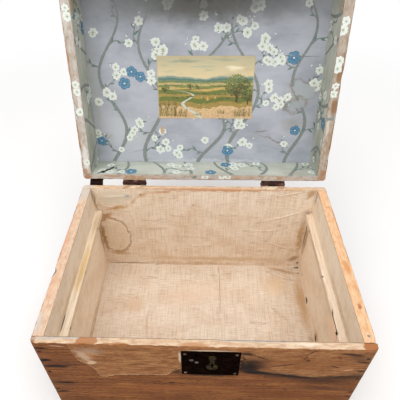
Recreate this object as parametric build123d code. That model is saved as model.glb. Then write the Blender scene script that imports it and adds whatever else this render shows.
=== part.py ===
from build123d import *

import math
import os

# Small pine travel trunk with a tray-shaped lid, a hasp lock and stop butt hinges.
# Millimetres. The origin is the centre of the case's underside, +X to the right and -Y to the front.
# Pieces of the lid are drawn on the closed trunk and then swung open about the hinge axis.

# Case: four boards nailed round each other on a bottom board
case_width = 400.0
case_depth = 285.0
case_height = 200.0
side_thickness = 14.5
end_thickness = 9.0
bottom_thickness = 9.0
corner_radius = 5.0
arris_radius = 1.4
left_joint_gap = 0.3
right_joint_gap = 0.8

# Lid: a frame of the same boards under a panel
lid_frame_height = 54.5
lid_panel_thickness = 9.0
lid_seat_gap = 0.3
opening_angle = 103.3

# Linings and the card pasted in the lid
cloth_thickness = 0.6
paper_thickness = 0.4
lining_inset = 0.5
card_width = 154.0
card_height = 100.0
card_centre_x = 1.7
card_back_inset = 88.5
card_thickness = 0.4

# Runners that carry a tray
runner_width = 11.0
runner_height = 10.0
runner_drop = 47.6
runner_front_gap = 0.2
runner_back_gap = 2.0
runner_nail_count = 3
runner_nail_inset = 42.0

# Cut nails
nail_head_length = 4.2
nail_head_width = 3.0
nail_head_depth = 1.0
nail_shank_length = 2.6
nail_shank_width = 1.8
nail_taper = 0.8
board_nail_length = 30.0
runner_nail_length = 18.0
board_nail_count = 4
board_nail_inset = 20.0
lid_nail_count = 2
lid_nail_inset = 14.0
edge_nail_count = 4
edge_nail_inset = 32.0

# Round nail driven into the right rim
rim_nail_radius = 2.6
rim_nail_head_depth = 1.2
rim_nail_crown = 0.5
rim_nail_shank_radius = 1.1
rim_nail_length = 14.0
rim_nail_front_inset = 18.0

# Stop butt hinges
hinge_end_inset = 66.3
hinge_length = 38.0
end_knuckle_length = 8.0
knuckle_gap = 0.2
barrel_radius = 4.1
barrel_clearance = 0.3
knuckle_offset = 5.9
leaf_thickness = 1.2
leaf_inner_margin = 0.85
leaf_side_clearance = 0.15
hinge_pin_radius = 1.6
hinge_pin_clearance = 0.08
pin_tip_radius = 2.7
pin_tip_height = 1.4
stop_direction = 262.0
stop_root_margin = 1.0
stop_reach = 6.5
stop_thickness = 2.0
stop_gap = 0.1
stop_wing = 3.0
hinge_screw_count = 3
hinge_screw_pitch = 10.0
screw_head_radius = 2.1
screw_head_depth = 1.0
screw_shank_radius = 1.0
screw_length = 14.0

# Leather strap over the back seam
strap_left_inset = 10.0
strap_width = 22.0
strap_thickness = 1.6
strap_seat_gap = 0.3
strap_flat_length = 20.0
strap_free_length = 13.0
strap_meeting_gap = 0.4
tack_head_radius = 2.4
tack_head_height = 1.2
tack_shank_radius = 0.7
tack_length = 6.0
tack_side_inset = 5.5

# Lock plate, nailed to the front board
lock_centre_x = 10.5
lock_width = 70.0
lock_height = 55.0
lock_top_drop = 11.0
lock_plate_thickness = 1.2
lock_nail_inset = 4.6
lock_nail_radius = 2.0
lock_nail_head_height = 0.8
lock_nail_shank_radius = 0.9
lock_nail_length = 7.0

# Lock case behind the plate, with its bolt, key pin and spring
lock_case_side_margin = 9.5
lock_case_top_margin = 1.6
lock_case_bottom_margin = 9.5
mortise_floor = 1.8
lock_case_wall = 1.0
mortise_clearance = 0.2
bolt_bar_length = 23.0
bolt_bar_height = 4.6
bolt_play = 0.3
bolt_slide_gap = 0.15
bolt_tongue_height = 2.8
bolt_tongue_length = 9.0
bolt_tongue_thickness = 2.0
bolt_tongue_inset = 1.2
bolt_travel = 6.0
bolt_tail_width = 12.0
bolt_tail_height = 13.0
guide_thickness = 1.6
guide_reach = 5.0
guide_gap = 0.8
talon_radius = 3.0
key_pin_radius = 1.2
keyhole_radius = 2.3
keyhole_slot_width = 2.4
keyhole_slot_length = 8.0
spring_thickness = 0.4
spring_gap = 0.15
spring_end_inset = 2.0
rivet_radius = 2.4
rivet_head_height = 0.7
rivet_shank_radius = 1.2
upper_rivet_x = -12.3
upper_rivet_drop = 30.0
lower_rivet_x = -6.0
lower_rivet_drop = 35.0

# Brass keyhole escutcheon, two round lobes and a waist
keyhole_x = 12.5
keyhole_drop = 38.6
escutcheon_thickness = 0.8
upper_lobe_radius = 4.6
upper_lobe_drop = 22.5
lower_lobe_radius = 7.2
lower_lobe_drop = 44.5
escutcheon_waist = 6.0
escutcheon_pin_radius = 1.1
escutcheon_pin_height = 0.5
escutcheon_pin_shank_radius = 0.55
upper_pin_drop = 21.0
lower_pin_drop = 49.6

# Hasp on the lid's front board
hasp_x = -6.5
hasp_pivot_height = 3.4
hasp_pivot_offset = 2.5
hasp_knuckle_radius = 2.3
hasp_knuckle_length = 7.6
hasp_knuckle_gap = 0.2
hasp_side_knuckle_length = 5.0
hasp_pin_radius = 0.9
hasp_pin_clearance = 0.06
hasp_pin_overhang = 0.6
hasp_plate_width = 26.0
hasp_plate_height = 22.0
hasp_plate_thickness = 1.2
hasp_nail_radius = 1.7
hasp_nail_head_height = 0.7
hasp_nail_shank_radius = 0.8
hasp_nail_length = 7.0
hasp_nail_inset = 3.2
hasp_width = 12.0
hasp_thickness = 1.6
hasp_tip_radius = 4.0
hasp_length = 28.0
staple_start = 19.5
staple_root_length = 6.0
staple_tip_length = 3.6
staple_thickness = 2.4
staple_tip_wall = 1.1
staple_hole_clearance = 0.35
slot_clearance = 0.4

# How far a cutter runs past the face that it opens, and how close two places count as one
cut_margin = 1.0
same_place = 0.01

# Places worked out from the sizes above
front = -case_depth / 2
back = case_depth / 2
right = case_width / 2
rim = case_height
inner_right = right - side_thickness
inner_front = front + end_thickness
inner_back = back - end_thickness
leaf_depth = end_thickness - leaf_inner_margin
lid_rim = rim + lid_seat_gap
lid_panel_level = lid_rim + lid_frame_height
lid_top = lid_panel_level + lid_panel_thickness
axis_y = back + knuckle_offset
axis_z = rim + lid_seat_gap / 2
runner_top = rim - runner_drop
floor_top = bottom_thickness + cloth_thickness
end_nail_x = right - side_thickness / 2
hinge_x = right - hinge_end_inset - hinge_length / 2
lock_top = rim - lock_top_drop
lock_bottom = lock_top - lock_height
lock_face = front - lock_plate_thickness
lock_case_depth = end_thickness - mortise_floor - mortise_clearance
hasp_pivot_y = front - hasp_pivot_offset
hasp_pivot_z = lid_rim + hasp_pivot_height
staple_level = hasp_pivot_z - staple_start - staple_root_length / 2
keyhole_level = rim - keyhole_drop


def block(x_span, y_span, z_span):
    """Return a box between the low and high values on each axis."""
    size = [high - low for low, high in (x_span, y_span, z_span)]
    middle = [(low + high) / 2 for low, high in (x_span, y_span, z_span)]
    return Pos(*middle) * Box(*size)


def evenly(low, high, count):
    """Return count values from low to high, both ends included."""
    return [low + (high - low) * step / (count - 1) for step in range(count)]


def group(pieces):
    """Return separate solids as one compound."""
    return Compound(children=list(pieces))


def swing_open(shape):
    """Return a piece of the closed lid where it stands with the lid open."""
    return shape.rotate(Axis((0, axis_y, axis_z), (1, 0, 0)), -opening_angle)


def driven_along(x, y, z, direction, across=(1, 0, 0)):
    """Return the plane at a point of a face from which a nail or screw runs in a direction."""
    return Plane(origin=(x, y, z), x_dir=across, z_dir=direction)


def cut_nail(place, length):
    """Return a cut nail with its head flush in the face that place lies on."""
    head = Pos(0, 0, nail_head_depth / 2) * Box(nail_head_length, nail_head_width, nail_head_depth)
    shank = extrude(Rectangle(nail_shank_length, nail_shank_width), amount=length, taper=nail_taper)
    return place * (head + shank)


def dome(radius, height):
    """Return a shallow dome that stands on the XY plane and rises along -Z."""
    ball_radius = (radius**2 + height**2) / (2 * height)
    ball = Pos(0, 0, ball_radius - height) * Sphere(ball_radius)
    return ball & Pos(0, 0, -height / 2) * Box(2 * ball_radius, 2 * ball_radius, height)


def domed_nail(place, radius, height, shank_radius, length):
    """Return a round nail whose domed head stands on the face that place lies on."""
    shank = Pos(0, 0, length / 2) * Cylinder(shank_radius, length)
    return place * (dome(radius, height) + shank)


def rounded_board(x_span, y_span, z_span, outer_y):
    """Return a board whose two upright edges on its outer face are worn round."""
    board = block(x_span, y_span, z_span)
    upright = board.edges().filter_by(Axis.Z)
    outer = upright.filter_by(lambda edge: abs(edge.center().Y - outer_y) < same_place)
    return fillet(outer, corner_radius)


def wear_arris(board, level, outer_y):
    """Return a board with its outer edge worn round at one level."""
    inner = board.bounding_box().center().Y
    outer_edges = board.edges().filter_by(
        lambda edge: abs(edge.center().Z - level) < same_place
        and (edge.center().Y - inner) * (outer_y - inner) > 0
        and abs(edge.bounding_box().size.Z) < same_place
        and abs(edge.center().X) < right - same_place
    )
    return fillet(outer_edges, arris_radius)


def worn_panel(z_span, level):
    """Return a full-size horizontal board with round corners and one worn outline."""
    panel = block((-right, right), (front, back), z_span)
    panel = fillet(panel.edges().filter_by(Axis.Z), corner_radius)
    outline = panel.edges().filter_by(lambda edge: abs(edge.center().Z - level) < same_place)
    return fillet(outline, arris_radius)


def end_board_nails(face_y, direction, levels):
    """Return nails through a front or back board into the ends of both side boards."""
    return [
        cut_nail(driven_along(side * end_nail_x, face_y, level, direction), board_nail_length)
        for side in (-1, 1)
        for level in levels
    ]


def panel_nails(face_z, direction):
    """Return nails round the edge of a bottom or lid panel, into all four boards under it."""
    long_x = evenly(-right + edge_nail_inset, right - edge_nail_inset, edge_nail_count)
    long_y = back - end_thickness / 2
    side_y = back / 2 - edge_nail_inset / 2
    nails = [
        cut_nail(driven_along(x, y, face_z, direction), board_nail_length)
        for y in (-long_y, long_y)
        for x in long_x
    ]
    nails += [
        cut_nail(driven_along(x, y, face_z, direction, (0, 1, 0)), board_nail_length)
        for x in (-end_nail_x, end_nail_x)
        for y in (-side_y, side_y)
    ]
    return nails


def stop_lug(radial_span, offset_span, x_span):
    """Return a flat lug that stands out from the hinge axis along the stop direction."""
    lug = block(x_span, radial_span, offset_span)
    return lug.rotate(Axis.X, 180.0 - stop_direction)


def barrel(x_span, radius):
    """Return a cylinder along the X axis."""
    length = x_span[1] - x_span[0]
    return Pos(sum(x_span) / 2, 0, 0) * Rot(0, 90, 0) * Cylinder(radius, length)


half_length = hinge_length / 2
inner_end = half_length - end_knuckle_length
middle_half = inner_end - knuckle_gap
leaf_edge = -(barrel_radius + barrel_clearance)
leaf_span = (-knuckle_offset - leaf_depth, leaf_edge)
leaf_low = lid_seat_gap / 2
leaf_high = leaf_low + leaf_thickness
lug_root = hinge_pin_radius + stop_root_margin
lug_side = (stop_gap / 2, stop_gap / 2 + stop_thickness)
pin_bore = barrel((-half_length, half_length), hinge_pin_radius + hinge_pin_clearance)


def case_leaf():
    """Return the case's hinge leaf: two end knuckles, each with a lug that the opening lid comes down on."""
    leaf = block((-half_length, half_length), leaf_span, (-leaf_high, -leaf_low))
    for side in (-1, 1):
        span = sorted((side * inner_end, side * half_length))
        leaf += block(span, (leaf_edge, 0), (-leaf_high, -leaf_low))
        leaf += barrel(span, barrel_radius)
        leaf += stop_lug((lug_root, stop_reach), (-lug_side[1], -lug_side[0]), span)
    return leaf - pin_bore


def lid_leaf():
    """Return the lid's hinge leaf, closed, about the hinge axis: a middle knuckle with a winged lug."""
    leaf = block((-half_length, half_length), leaf_span, (leaf_low, leaf_high))
    leaf += block((-middle_half, middle_half), (leaf_edge, 0), (leaf_low, leaf_high))
    leaf += barrel((-middle_half, middle_half), barrel_radius)
    wing_half = middle_half + stop_wing
    wing_root = barrel_radius + barrel_clearance
    lug = stop_lug((lug_root, stop_reach), lug_side, (-middle_half, middle_half))
    lug += stop_lug((wing_root, stop_reach), lug_side, (-wing_half, wing_half))
    leaf += lug.rotate(Axis.X, opening_angle)
    return leaf - pin_bore


def hinge_pin():
    """Return the hinge pin with a domed tip at each end."""
    pin = barrel((-half_length, half_length), hinge_pin_radius)
    tip = dome(pin_tip_radius, pin_tip_height)
    pin += Pos(-half_length, 0, 0) * Rot(0, 90, 0) * tip
    pin += Pos(half_length, 0, 0) * Rot(0, -90, 0) * tip
    return pin


def hinge_screw(place):
    """Return a countersunk screw whose flat head is flush with the face that place lies on."""
    head = Cone(screw_head_radius, screw_shank_radius, screw_head_depth)
    head = Pos(0, 0, screw_head_depth / 2) * head
    shank = Pos(0, 0, screw_length / 2) * Cylinder(screw_shank_radius, screw_length)
    return place * (head + shank)


def hinge_screws(level, direction):
    """Return the screws of both hinges on the case's or the lid's rim."""
    reach = hinge_screw_pitch * (hinge_screw_count - 1) / 2
    y = back - leaf_depth / 2
    return [
        hinge_screw(driven_along(x, y, level, direction))
        for centre in (-hinge_x, hinge_x)
        for x in evenly(centre - reach, centre + reach, hinge_screw_count)
    ]


def leaf_recesses(level, direction):
    """Return the two shallow recesses that the hinge leaves lie in."""
    half = half_length + leaf_side_clearance
    y_span = (back - leaf_depth - leaf_side_clearance, back + cut_margin)
    depth = sorted((level, level + direction * leaf_thickness))
    return [block((centre - half, centre + half), y_span, depth) for centre in (-hinge_x, hinge_x)]


def strap_half():
    """Return the case's half of the strap: flat on the back board, then out to the middle of the fold."""
    seat = back + strap_seat_gap
    level = axis_z - strap_free_length
    turned = math.radians(opening_angle)
    offset_y = seat + strap_thickness / 2 - axis_y
    far_y = offset_y * math.cos(turned) + strap_free_length * math.sin(turned)
    far_z = -offset_y * math.sin(turned) + strap_free_length * math.cos(turned)
    run_y = far_y - offset_y
    run_z = far_z + strap_free_length
    run = math.hypot(run_y, run_z)
    slope = math.degrees(math.atan2(run_z, run_y))
    x_span = (-right + strap_left_inset, -right + strap_left_inset + strap_width)
    flat = block(x_span, (seat, seat + strap_thickness), (level - strap_flat_length, level))
    half = strap_thickness / 2
    free = block(x_span, (0, (run - strap_meeting_gap) / 2), (-half, half))
    free = Pos(0, seat + half, level) * free.rotate(Axis.X, slope)
    bend = Rot(0, 90, 0) * Cylinder(half, strap_width)
    bend = Pos(sum(x_span) / 2, seat + half, level) * bend
    return flat + free + bend


def strap_tacks():
    """Return the two tacks that hold the case's half of the strap."""
    level = axis_z - strap_free_length - strap_flat_length / 2
    face = back + strap_seat_gap + strap_thickness
    first = -right + strap_left_inset + tack_side_inset
    last = -right + strap_left_inset + strap_width - tack_side_inset
    return [
        domed_nail(
            driven_along(x, face, level, (0, -1, 0)),
            tack_head_radius,
            tack_head_height,
            tack_shank_radius,
            tack_length + strap_thickness,
        )
        for x in (first, last)
    ]


def mirrored_on_lid(shape):
    """Return a piece of the case's back mirrored onto the closed lid."""
    return mirror(shape, Plane(origin=(0, 0, axis_z), z_dir=(0, 0, 1)))


def keyhole_cutter(y_span):
    """Return the keyhole's round hole and the slot below it."""
    hole = Pos(keyhole_x, sum(y_span) / 2, keyhole_level) * Rot(90, 0, 0)
    hole = hole * Cylinder(keyhole_radius, y_span[1] - y_span[0])
    slot_half = keyhole_slot_width / 2
    slot = block(
        (keyhole_x - slot_half, keyhole_x + slot_half),
        y_span,
        (keyhole_level - keyhole_slot_length, keyhole_level),
    )
    return hole + slot


def staple_slot():
    """Return the slot in the lock plate that the hasp's staple enters."""
    half = staple_thickness / 2 + slot_clearance
    level = hasp_pivot_z - staple_start
    return block(
        (hasp_x - half, hasp_x + half),
        (lock_face - cut_margin, front + cut_margin),
        (level - staple_root_length - slot_clearance, level + slot_clearance),
    )


def lock_nails():
    """Return the four round nails at the corners of the lock plate."""
    reach = lock_width / 2 - lock_nail_inset
    xs = (lock_centre_x - reach, lock_centre_x + reach)
    zs = (lock_bottom + lock_nail_inset, lock_top - lock_nail_inset)
    return [
        domed_nail(
            driven_along(x, lock_face, z, (0, 1, 0)),
            lock_nail_radius,
            lock_nail_head_height,
            lock_nail_shank_radius,
            lock_nail_length,
        )
        for x in xs
        for z in zs
    ]


def case_rivets():
    """Return the two rivets that hold the lock case's back plate to the lock plate."""
    length = lock_plate_thickness + lock_case_depth - lock_case_wall
    return [
        domed_nail(
            driven_along(x, lock_face, rim - drop, (0, 1, 0)),
            rivet_radius,
            rivet_head_height,
            rivet_shank_radius,
            length,
        )
        for x, drop in ((upper_rivet_x, upper_rivet_drop), (lower_rivet_x, lower_rivet_drop))
    ]


case_x_span = (
    lock_centre_x - lock_width / 2 + lock_case_side_margin,
    lock_centre_x + lock_width / 2 - lock_case_side_margin,
)
case_z_span = (lock_bottom + lock_case_bottom_margin, lock_top - lock_case_top_margin)
case_back = front + lock_case_depth
cavity_back = case_back - lock_case_wall
tongue_low = staple_level - bolt_tongue_height / 2
tongue_top = tongue_low + bolt_tongue_height
bolt_tip = hasp_x + staple_thickness / 2 + slot_clearance
bolt_bar_left = bolt_tip + bolt_tongue_length
bolt_bar_right = bolt_bar_left + bolt_bar_length
bolt_top = tongue_low + bolt_bar_height
bolt_tongue_y = (front + bolt_tongue_inset, front + bolt_tongue_inset + bolt_tongue_thickness)
bolt_tail_x = (keyhole_x - bolt_tail_width / 2, keyhole_x + bolt_tail_width / 2)


def grown(span, amount):
    """Return a span made wider by an amount at both ends."""
    return (span[0] - amount, span[1] + amount)


def lock_case():
    """Return the open-fronted lock case, with the two lugs that the bolt slides on."""
    shell = block(case_x_span, (front, case_back), case_z_span)
    inside_x = grown(case_x_span, -lock_case_wall)
    inside_z = grown(case_z_span, -lock_case_wall)
    cavity = block(inside_x, (front - cut_margin, cavity_back), inside_z)
    lug_top = tongue_low - bolt_slide_gap
    lug_y = (cavity_back - guide_reach, cavity_back)
    lug_z = (lug_top - guide_thickness, lug_top)
    left_lug = bolt_tail_x[0] - bolt_travel - guide_gap - guide_thickness
    right_lug = bolt_tail_x[1] + guide_gap
    lugs = [block((x, x + guide_thickness), lug_y, lug_z) for x in (left_lug, right_lug)]
    return shell - cavity + lugs


def lock_bolt():
    """Return the sliding bolt: a bar, a tongue for the staple and a tail with the key's talon."""
    bar_y = (front + bolt_play, cavity_back - bolt_play)
    bar = block((bolt_bar_left, bolt_bar_right), bar_y, (tongue_low, bolt_top))
    tongue = block((bolt_tip, bolt_bar_left), bolt_tongue_y, (tongue_low, tongue_top))
    tail_low = tongue_low - bolt_tail_height
    tail = block(bolt_tail_x, bolt_tongue_y, (tail_low, tongue_low))
    talon = Pos(keyhole_x, sum(bolt_tongue_y) / 2, tail_low) * Rot(90, 0, 0)
    talon = talon * Cylinder(talon_radius, 2 * bolt_tongue_thickness)
    return bar + tongue + tail - talon


def lock_spring():
    """Return the bow spring between the case's upper wall and the bolt."""
    ceiling = case_z_span[1] - lock_case_wall
    rise = ceiling - bolt_top - spring_gap
    half_span = (bolt_bar_length - 2 * spring_end_inset) / 2
    centre_x = (bolt_bar_left + bolt_bar_right) / 2
    radius = (half_span**2 + rise**2) / (2 * rise)
    ring_y = (cavity_back + front) / 2
    ring = Circle(radius) - Circle(radius - spring_thickness)
    ring = extrude(ring, amount=bolt_tongue_thickness / 2, both=True)
    ring = Pos(centre_x, ring_y, ceiling - rise + radius) * Rot(90, 0, 0) * ring
    reach = (centre_x - half_span, centre_x + half_span)
    return ring & block(reach, (front, cavity_back), (ceiling - rise, ceiling))


def key_pin():
    """Return the pin that a hollow key turns on."""
    length = cavity_back - front
    pin = Rot(90, 0, 0) * Cylinder(key_pin_radius, length)
    return Pos(keyhole_x, front + length / 2, keyhole_level) * pin


lock_front = Plane(origin=(0, lock_face, 0), x_dir=(1, 0, 0), z_dir=(0, -1, 0))


def escutcheon():
    """Return the two-lobed brass plate round the keyhole."""
    upper = Pos(keyhole_x, rim - upper_lobe_drop) * Circle(upper_lobe_radius)
    lower = Pos(keyhole_x, rim - lower_lobe_drop) * Circle(lower_lobe_radius)
    middle = rim - (upper_lobe_drop + lower_lobe_drop) / 2
    waist = Pos(keyhole_x, middle) * Rectangle(escutcheon_waist, lower_lobe_drop - upper_lobe_drop)
    outline = lock_front * (upper + lower + waist)
    plate = extrude(outline, amount=escutcheon_thickness)
    return plate - keyhole_cutter((lock_face - escutcheon_thickness - cut_margin, lock_face + cut_margin))


def escutcheon_pins():
    """Return the two small pins that hold the escutcheon."""
    return [
        domed_nail(
            driven_along(keyhole_x, lock_face - escutcheon_thickness, rim - drop, (0, 1, 0)),
            escutcheon_pin_radius,
            escutcheon_pin_height,
            escutcheon_pin_shank_radius,
            escutcheon_thickness + lock_plate_thickness,
        )
        for drop in (upper_pin_drop, lower_pin_drop)
    ]


def hasp_barrel(x_span, radius):
    """Return a cylinder along the hasp's pivot."""
    return Pos(0, hasp_pivot_y, hasp_pivot_z) * barrel(x_span, radius)


hasp_middle_half = hasp_knuckle_length / 2
hasp_side_start = hasp_middle_half + hasp_knuckle_gap
hasp_side_end = hasp_side_start + hasp_side_knuckle_length
hasp_clear = hasp_knuckle_radius + barrel_clearance
hasp_bore = hasp_barrel(
    (hasp_x - hasp_side_end - cut_margin, hasp_x + hasp_side_end + cut_margin),
    hasp_pin_radius + hasp_pin_clearance,
)


def hasp_nails():
    """Return the nails that hold the hasp's hinge plate."""
    half = hasp_plate_width / 2 - hasp_nail_inset
    low = hasp_pivot_z + hasp_clear + hasp_nail_inset
    high = hasp_pivot_z + hasp_plate_height - hasp_nail_inset
    return [
        domed_nail(
            driven_along(x, front - hasp_plate_thickness, z, (0, 1, 0)),
            hasp_nail_radius,
            hasp_nail_head_height,
            hasp_nail_shank_radius,
            hasp_nail_length,
        )
        for x in (hasp_x - half, hasp_x + half)
        for z in (low, high)
    ]


def hasp_plate():
    """Return the hinge plate on the lid, with the two outer knuckles."""
    half = hasp_plate_width / 2
    y_span = (front - hasp_plate_thickness, front)
    z_span = (hasp_pivot_z + hasp_clear, hasp_pivot_z + hasp_plate_height)
    plate = block((hasp_x - half, hasp_x + half), y_span, z_span)
    for side in (-1, 1):
        span = sorted((hasp_x + side * hasp_side_start, hasp_x + side * hasp_side_end))
        plate += block(span, y_span, (hasp_pivot_z, hasp_pivot_z + hasp_clear))
        plate += hasp_barrel(span, hasp_knuckle_radius)
    return plate - hasp_bore


def hasp_down():
    """Return the hasp hanging over the lock plate of the closed trunk."""
    strap_y = (hasp_pivot_y - hasp_thickness / 2, hasp_pivot_y + hasp_thickness / 2)
    tip_level = hasp_pivot_z - hasp_length + hasp_tip_radius
    shoulder = hasp_pivot_z - hasp_length / 2
    side_x = (hasp_x - hasp_width / 2, hasp_x + hasp_width / 2)
    strap = block(side_x, strap_y, (shoulder, hasp_pivot_z - hasp_clear))
    taper = Polyline(
        (side_x[0], shoulder),
        (side_x[1], shoulder),
        (hasp_x + hasp_tip_radius, tip_level),
        (hasp_x - hasp_tip_radius, tip_level),
        close=True,
    )
    face_plane = Plane(origin=(0, strap_y[1], 0), x_dir=(1, 0, 0), z_dir=(0, -1, 0))
    tongue = extrude(face_plane * make_face(taper), amount=hasp_thickness)
    tip = extrude(face_plane * (Pos(hasp_x, tip_level) * Circle(hasp_tip_radius)), amount=hasp_thickness)
    middle_x = (hasp_x - hasp_middle_half, hasp_x + hasp_middle_half)
    neck = block(middle_x, strap_y, (hasp_pivot_z - hasp_clear, hasp_pivot_z))
    knuckle = hasp_barrel(middle_x, hasp_knuckle_radius)
    return strap + tongue + tip + neck + knuckle + hasp_staple(strap_y[1]) - hasp_bore


def hasp_staple(face):
    """Return the pierced staple on the back of the hasp, tapered to clear its slot as it swings in."""
    top = hasp_pivot_z - staple_start
    root = face - hasp_thickness / 2
    tip = bolt_tongue_y[1] + staple_hole_clearance + staple_tip_wall
    outline = Polyline(
        (root, top),
        (tip, top),
        (tip, top - staple_tip_length),
        (face, top - staple_root_length),
        (root, top - staple_root_length),
        close=True,
    )
    side_plane = Plane(origin=(hasp_x - staple_thickness / 2, 0, 0), x_dir=(0, 1, 0), z_dir=(1, 0, 0))
    staple = extrude(side_plane * make_face(outline), amount=staple_thickness)
    hole_z = grown((tongue_low, tongue_top), staple_hole_clearance)
    hole_x = (hasp_x - staple_thickness, hasp_x + staple_thickness)
    return staple - block(hole_x, grown(bolt_tongue_y, staple_hole_clearance), hole_z)


def runner(side, nails):
    """Return the tray runner on one side, drilled for its nails."""
    x_span = sorted((side * (inner_right - runner_width), side * inner_right))
    y_span = (
        inner_front + cloth_thickness + runner_front_gap,
        inner_back - cloth_thickness - runner_back_gap,
    )
    return block(x_span, y_span, (runner_top - runner_height, runner_top)) - nails


def runner_nails(side):
    """Return the nails that hold one runner to its side board."""
    ys = evenly(inner_front + runner_nail_inset, inner_back - runner_nail_inset, runner_nail_count)
    face = side * (inner_right - runner_width)
    level = runner_top - runner_height / 2
    return [
        cut_nail(driven_along(face, y, level, (side, 0, 0), (0, 1, 0)), runner_nail_length)
        for y in ys
    ]


def side_lining(side, z_span, thickness, y_inset):
    """Return a lining on the inner face of one side board."""
    x_span = sorted((side * (inner_right - thickness), side * inner_right))
    return block(x_span, (inner_front + y_inset, inner_back - y_inset), z_span)


def rim_nail_and_hole():
    """Return the round nail in the right rim, and the hole that it fills."""
    place = driven_along(end_nail_x, front + rim_nail_front_inset, rim, (0, 0, -1))
    base_depth = rim_nail_head_depth - rim_nail_crown
    shank = Pos(0, 0, rim_nail_length / 2) * Cylinder(rim_nail_shank_radius, rim_nail_length)
    seat = Pos(0, 0, rim_nail_head_depth / 2) * Cylinder(rim_nail_radius, rim_nail_head_depth)
    base = Pos(0, 0, rim_nail_crown + base_depth / 2) * Cylinder(rim_nail_radius, base_depth)
    crown = Pos(0, 0, rim_nail_crown) * dome(rim_nail_radius, rim_nail_crown)
    return place * (crown + base + shank), place * (seat + shank)


# Nails, screws, tacks and rivets. Each is also cut from the pieces that it goes through.
case_levels = evenly(bottom_thickness + board_nail_inset, rim - board_nail_inset, board_nail_count)
lid_levels = evenly(lid_rim + lid_nail_inset, lid_panel_level - lid_nail_inset, lid_nail_count)
front_nails = end_board_nails(front, (0, 1, 0), case_levels)
back_nails = end_board_nails(back, (0, -1, 0), case_levels)
bottom_nails = panel_nails(0, (0, 0, 1))
frame_nails = end_board_nails(front, (0, 1, 0), lid_levels)
frame_nails += end_board_nails(back, (0, -1, 0), lid_levels)
top_nails = panel_nails(lid_top, (0, 0, -1))
left_runner_nails = runner_nails(-1)
right_runner_nails = runner_nails(1)
rim_nail, rim_nail_hole = rim_nail_and_hole()
case_screws = hinge_screws(rim, (0, 0, -1))
lid_screws = hinge_screws(lid_rim, (0, 0, 1))
case_tacks = strap_tacks()
lid_tacks = [mirrored_on_lid(tack) for tack in case_tacks]
plate_nails = lock_nails()
plate_rivets = case_rivets()
keyhole_pins = escutcheon_pins()
hasp_fixings = hasp_nails()

# Spans that several pieces share
full_x = (-right, right)
inner_x = (-inner_right, inner_right)
inner_y = (inner_front, inner_back)


def case_boards():
    """Return the case's four walls, its bottom and the nails that hold them."""
    wall = (bottom_thickness, rim)
    mortise = block(
        grown(case_x_span, mortise_clearance),
        (front - cut_margin, case_back + mortise_clearance),
        grown(case_z_span, mortise_clearance),
    )
    front_board = rounded_board(full_x, (front, inner_front), wall, front)
    front_board = wear_arris(front_board, rim, front) - mortise
    back_board = rounded_board(full_x, (inner_back, back), wall, back)
    back_board = wear_arris(back_board, rim, back) - leaf_recesses(rim, -1)
    left_board = block((-right, -inner_right), (inner_front + left_joint_gap, inner_back), wall)
    right_board = block((inner_right, right), (inner_front + right_joint_gap, inner_back), wall)
    side_nails = front_nails + back_nails + bottom_nails
    return {
        "front_board": front_board - front_nails - bottom_nails - plate_nails,
        "back_board": back_board - back_nails - bottom_nails - case_screws - case_tacks,
        "left_side_board": left_board - side_nails - left_runner_nails,
        "right_side_board": right_board - side_nails - right_runner_nails - rim_nail_hole,
        "bottom_board": worn_panel((0, bottom_thickness), 0) - bottom_nails,
        "front_board_nails": group(front_nails),
        "back_board_nails": group(back_nails),
        "bottom_board_nails": group(bottom_nails),
        "rim_nail": rim_nail,
    }


def tray_runners():
    """Return the two tray runners and their nails."""
    return {
        "left_tray_runner": runner(-1, left_runner_nails),
        "right_tray_runner": runner(1, right_runner_nails),
        "runner_nails": group(left_runner_nails + right_runner_nails),
    }


def case_linings():
    """Return the cloth on the floor and walls, and the paper above the runners."""
    lining_top = rim - lining_inset
    wall = (floor_top, lining_top)
    pieces = {
        "floor_lining": block(inner_x, inner_y, (bottom_thickness, floor_top)),
        "front_lining": block(inner_x, (inner_front, inner_front + cloth_thickness), wall),
        "back_lining": block(inner_x, (inner_back - cloth_thickness, inner_back), wall),
    }
    upper = (runner_top, lining_top)
    lower = (floor_top, runner_top - runner_height)
    for name, side in (("left", -1), ("right", 1)):
        pieces[name + "_upper_lining"] = side_lining(side, upper, paper_thickness, cloth_thickness)
        pieces[name + "_lower_lining"] = side_lining(side, lower, cloth_thickness, cloth_thickness)
    return pieces


def lock():
    """Return the lock plate, the works behind it and what is fixed to it."""
    plate_x = (lock_centre_x - lock_width / 2, lock_centre_x + lock_width / 2)
    plate = block(plate_x, (lock_face, front), (lock_bottom, lock_top))
    plate = plate - keyhole_cutter((lock_face - cut_margin, front + cut_margin)) - staple_slot()
    return {
        "lock_plate": plate - plate_nails - plate_rivets - keyhole_pins,
        "lock_plate_nails": group(plate_nails),
        "lock_case": lock_case(),
        "lock_case_rivets": group(plate_rivets),
        "lock_key_pin": key_pin(),
        "lock_spring": lock_spring(),
        "lock_bolt": lock_bolt(),
        "keyhole_escutcheon": escutcheon() - keyhole_pins,
        "escutcheon_pins": group(keyhole_pins),
    }


def hinges():
    """Return the leaves, pins and screws of both hinges."""
    pieces = {}
    for name, centre in (("left", -hinge_x), ("right", hinge_x)):
        place = Pos(centre, axis_y, axis_z)
        pieces[name + "_hinge_case_leaf"] = place * case_leaf() - case_screws
        pieces[name + "_hinge_lid_leaf"] = swing_open(place * lid_leaf() - lid_screws)
        pieces[name + "_hinge_pin"] = place * hinge_pin()
    pieces["case_hinge_screws"] = group(case_screws)
    pieces["lid_hinge_screws"] = swing_open(group(lid_screws))
    return pieces


def back_strap():
    """Return both halves of the strap over the back seam, and their tacks."""
    half = strap_half() - case_tacks
    return {
        "strap_case_half": half,
        "strap_lid_half": swing_open(mirrored_on_lid(half)),
        "strap_case_tacks": group(case_tacks),
        "strap_lid_tacks": swing_open(group(lid_tacks)),
    }


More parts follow.
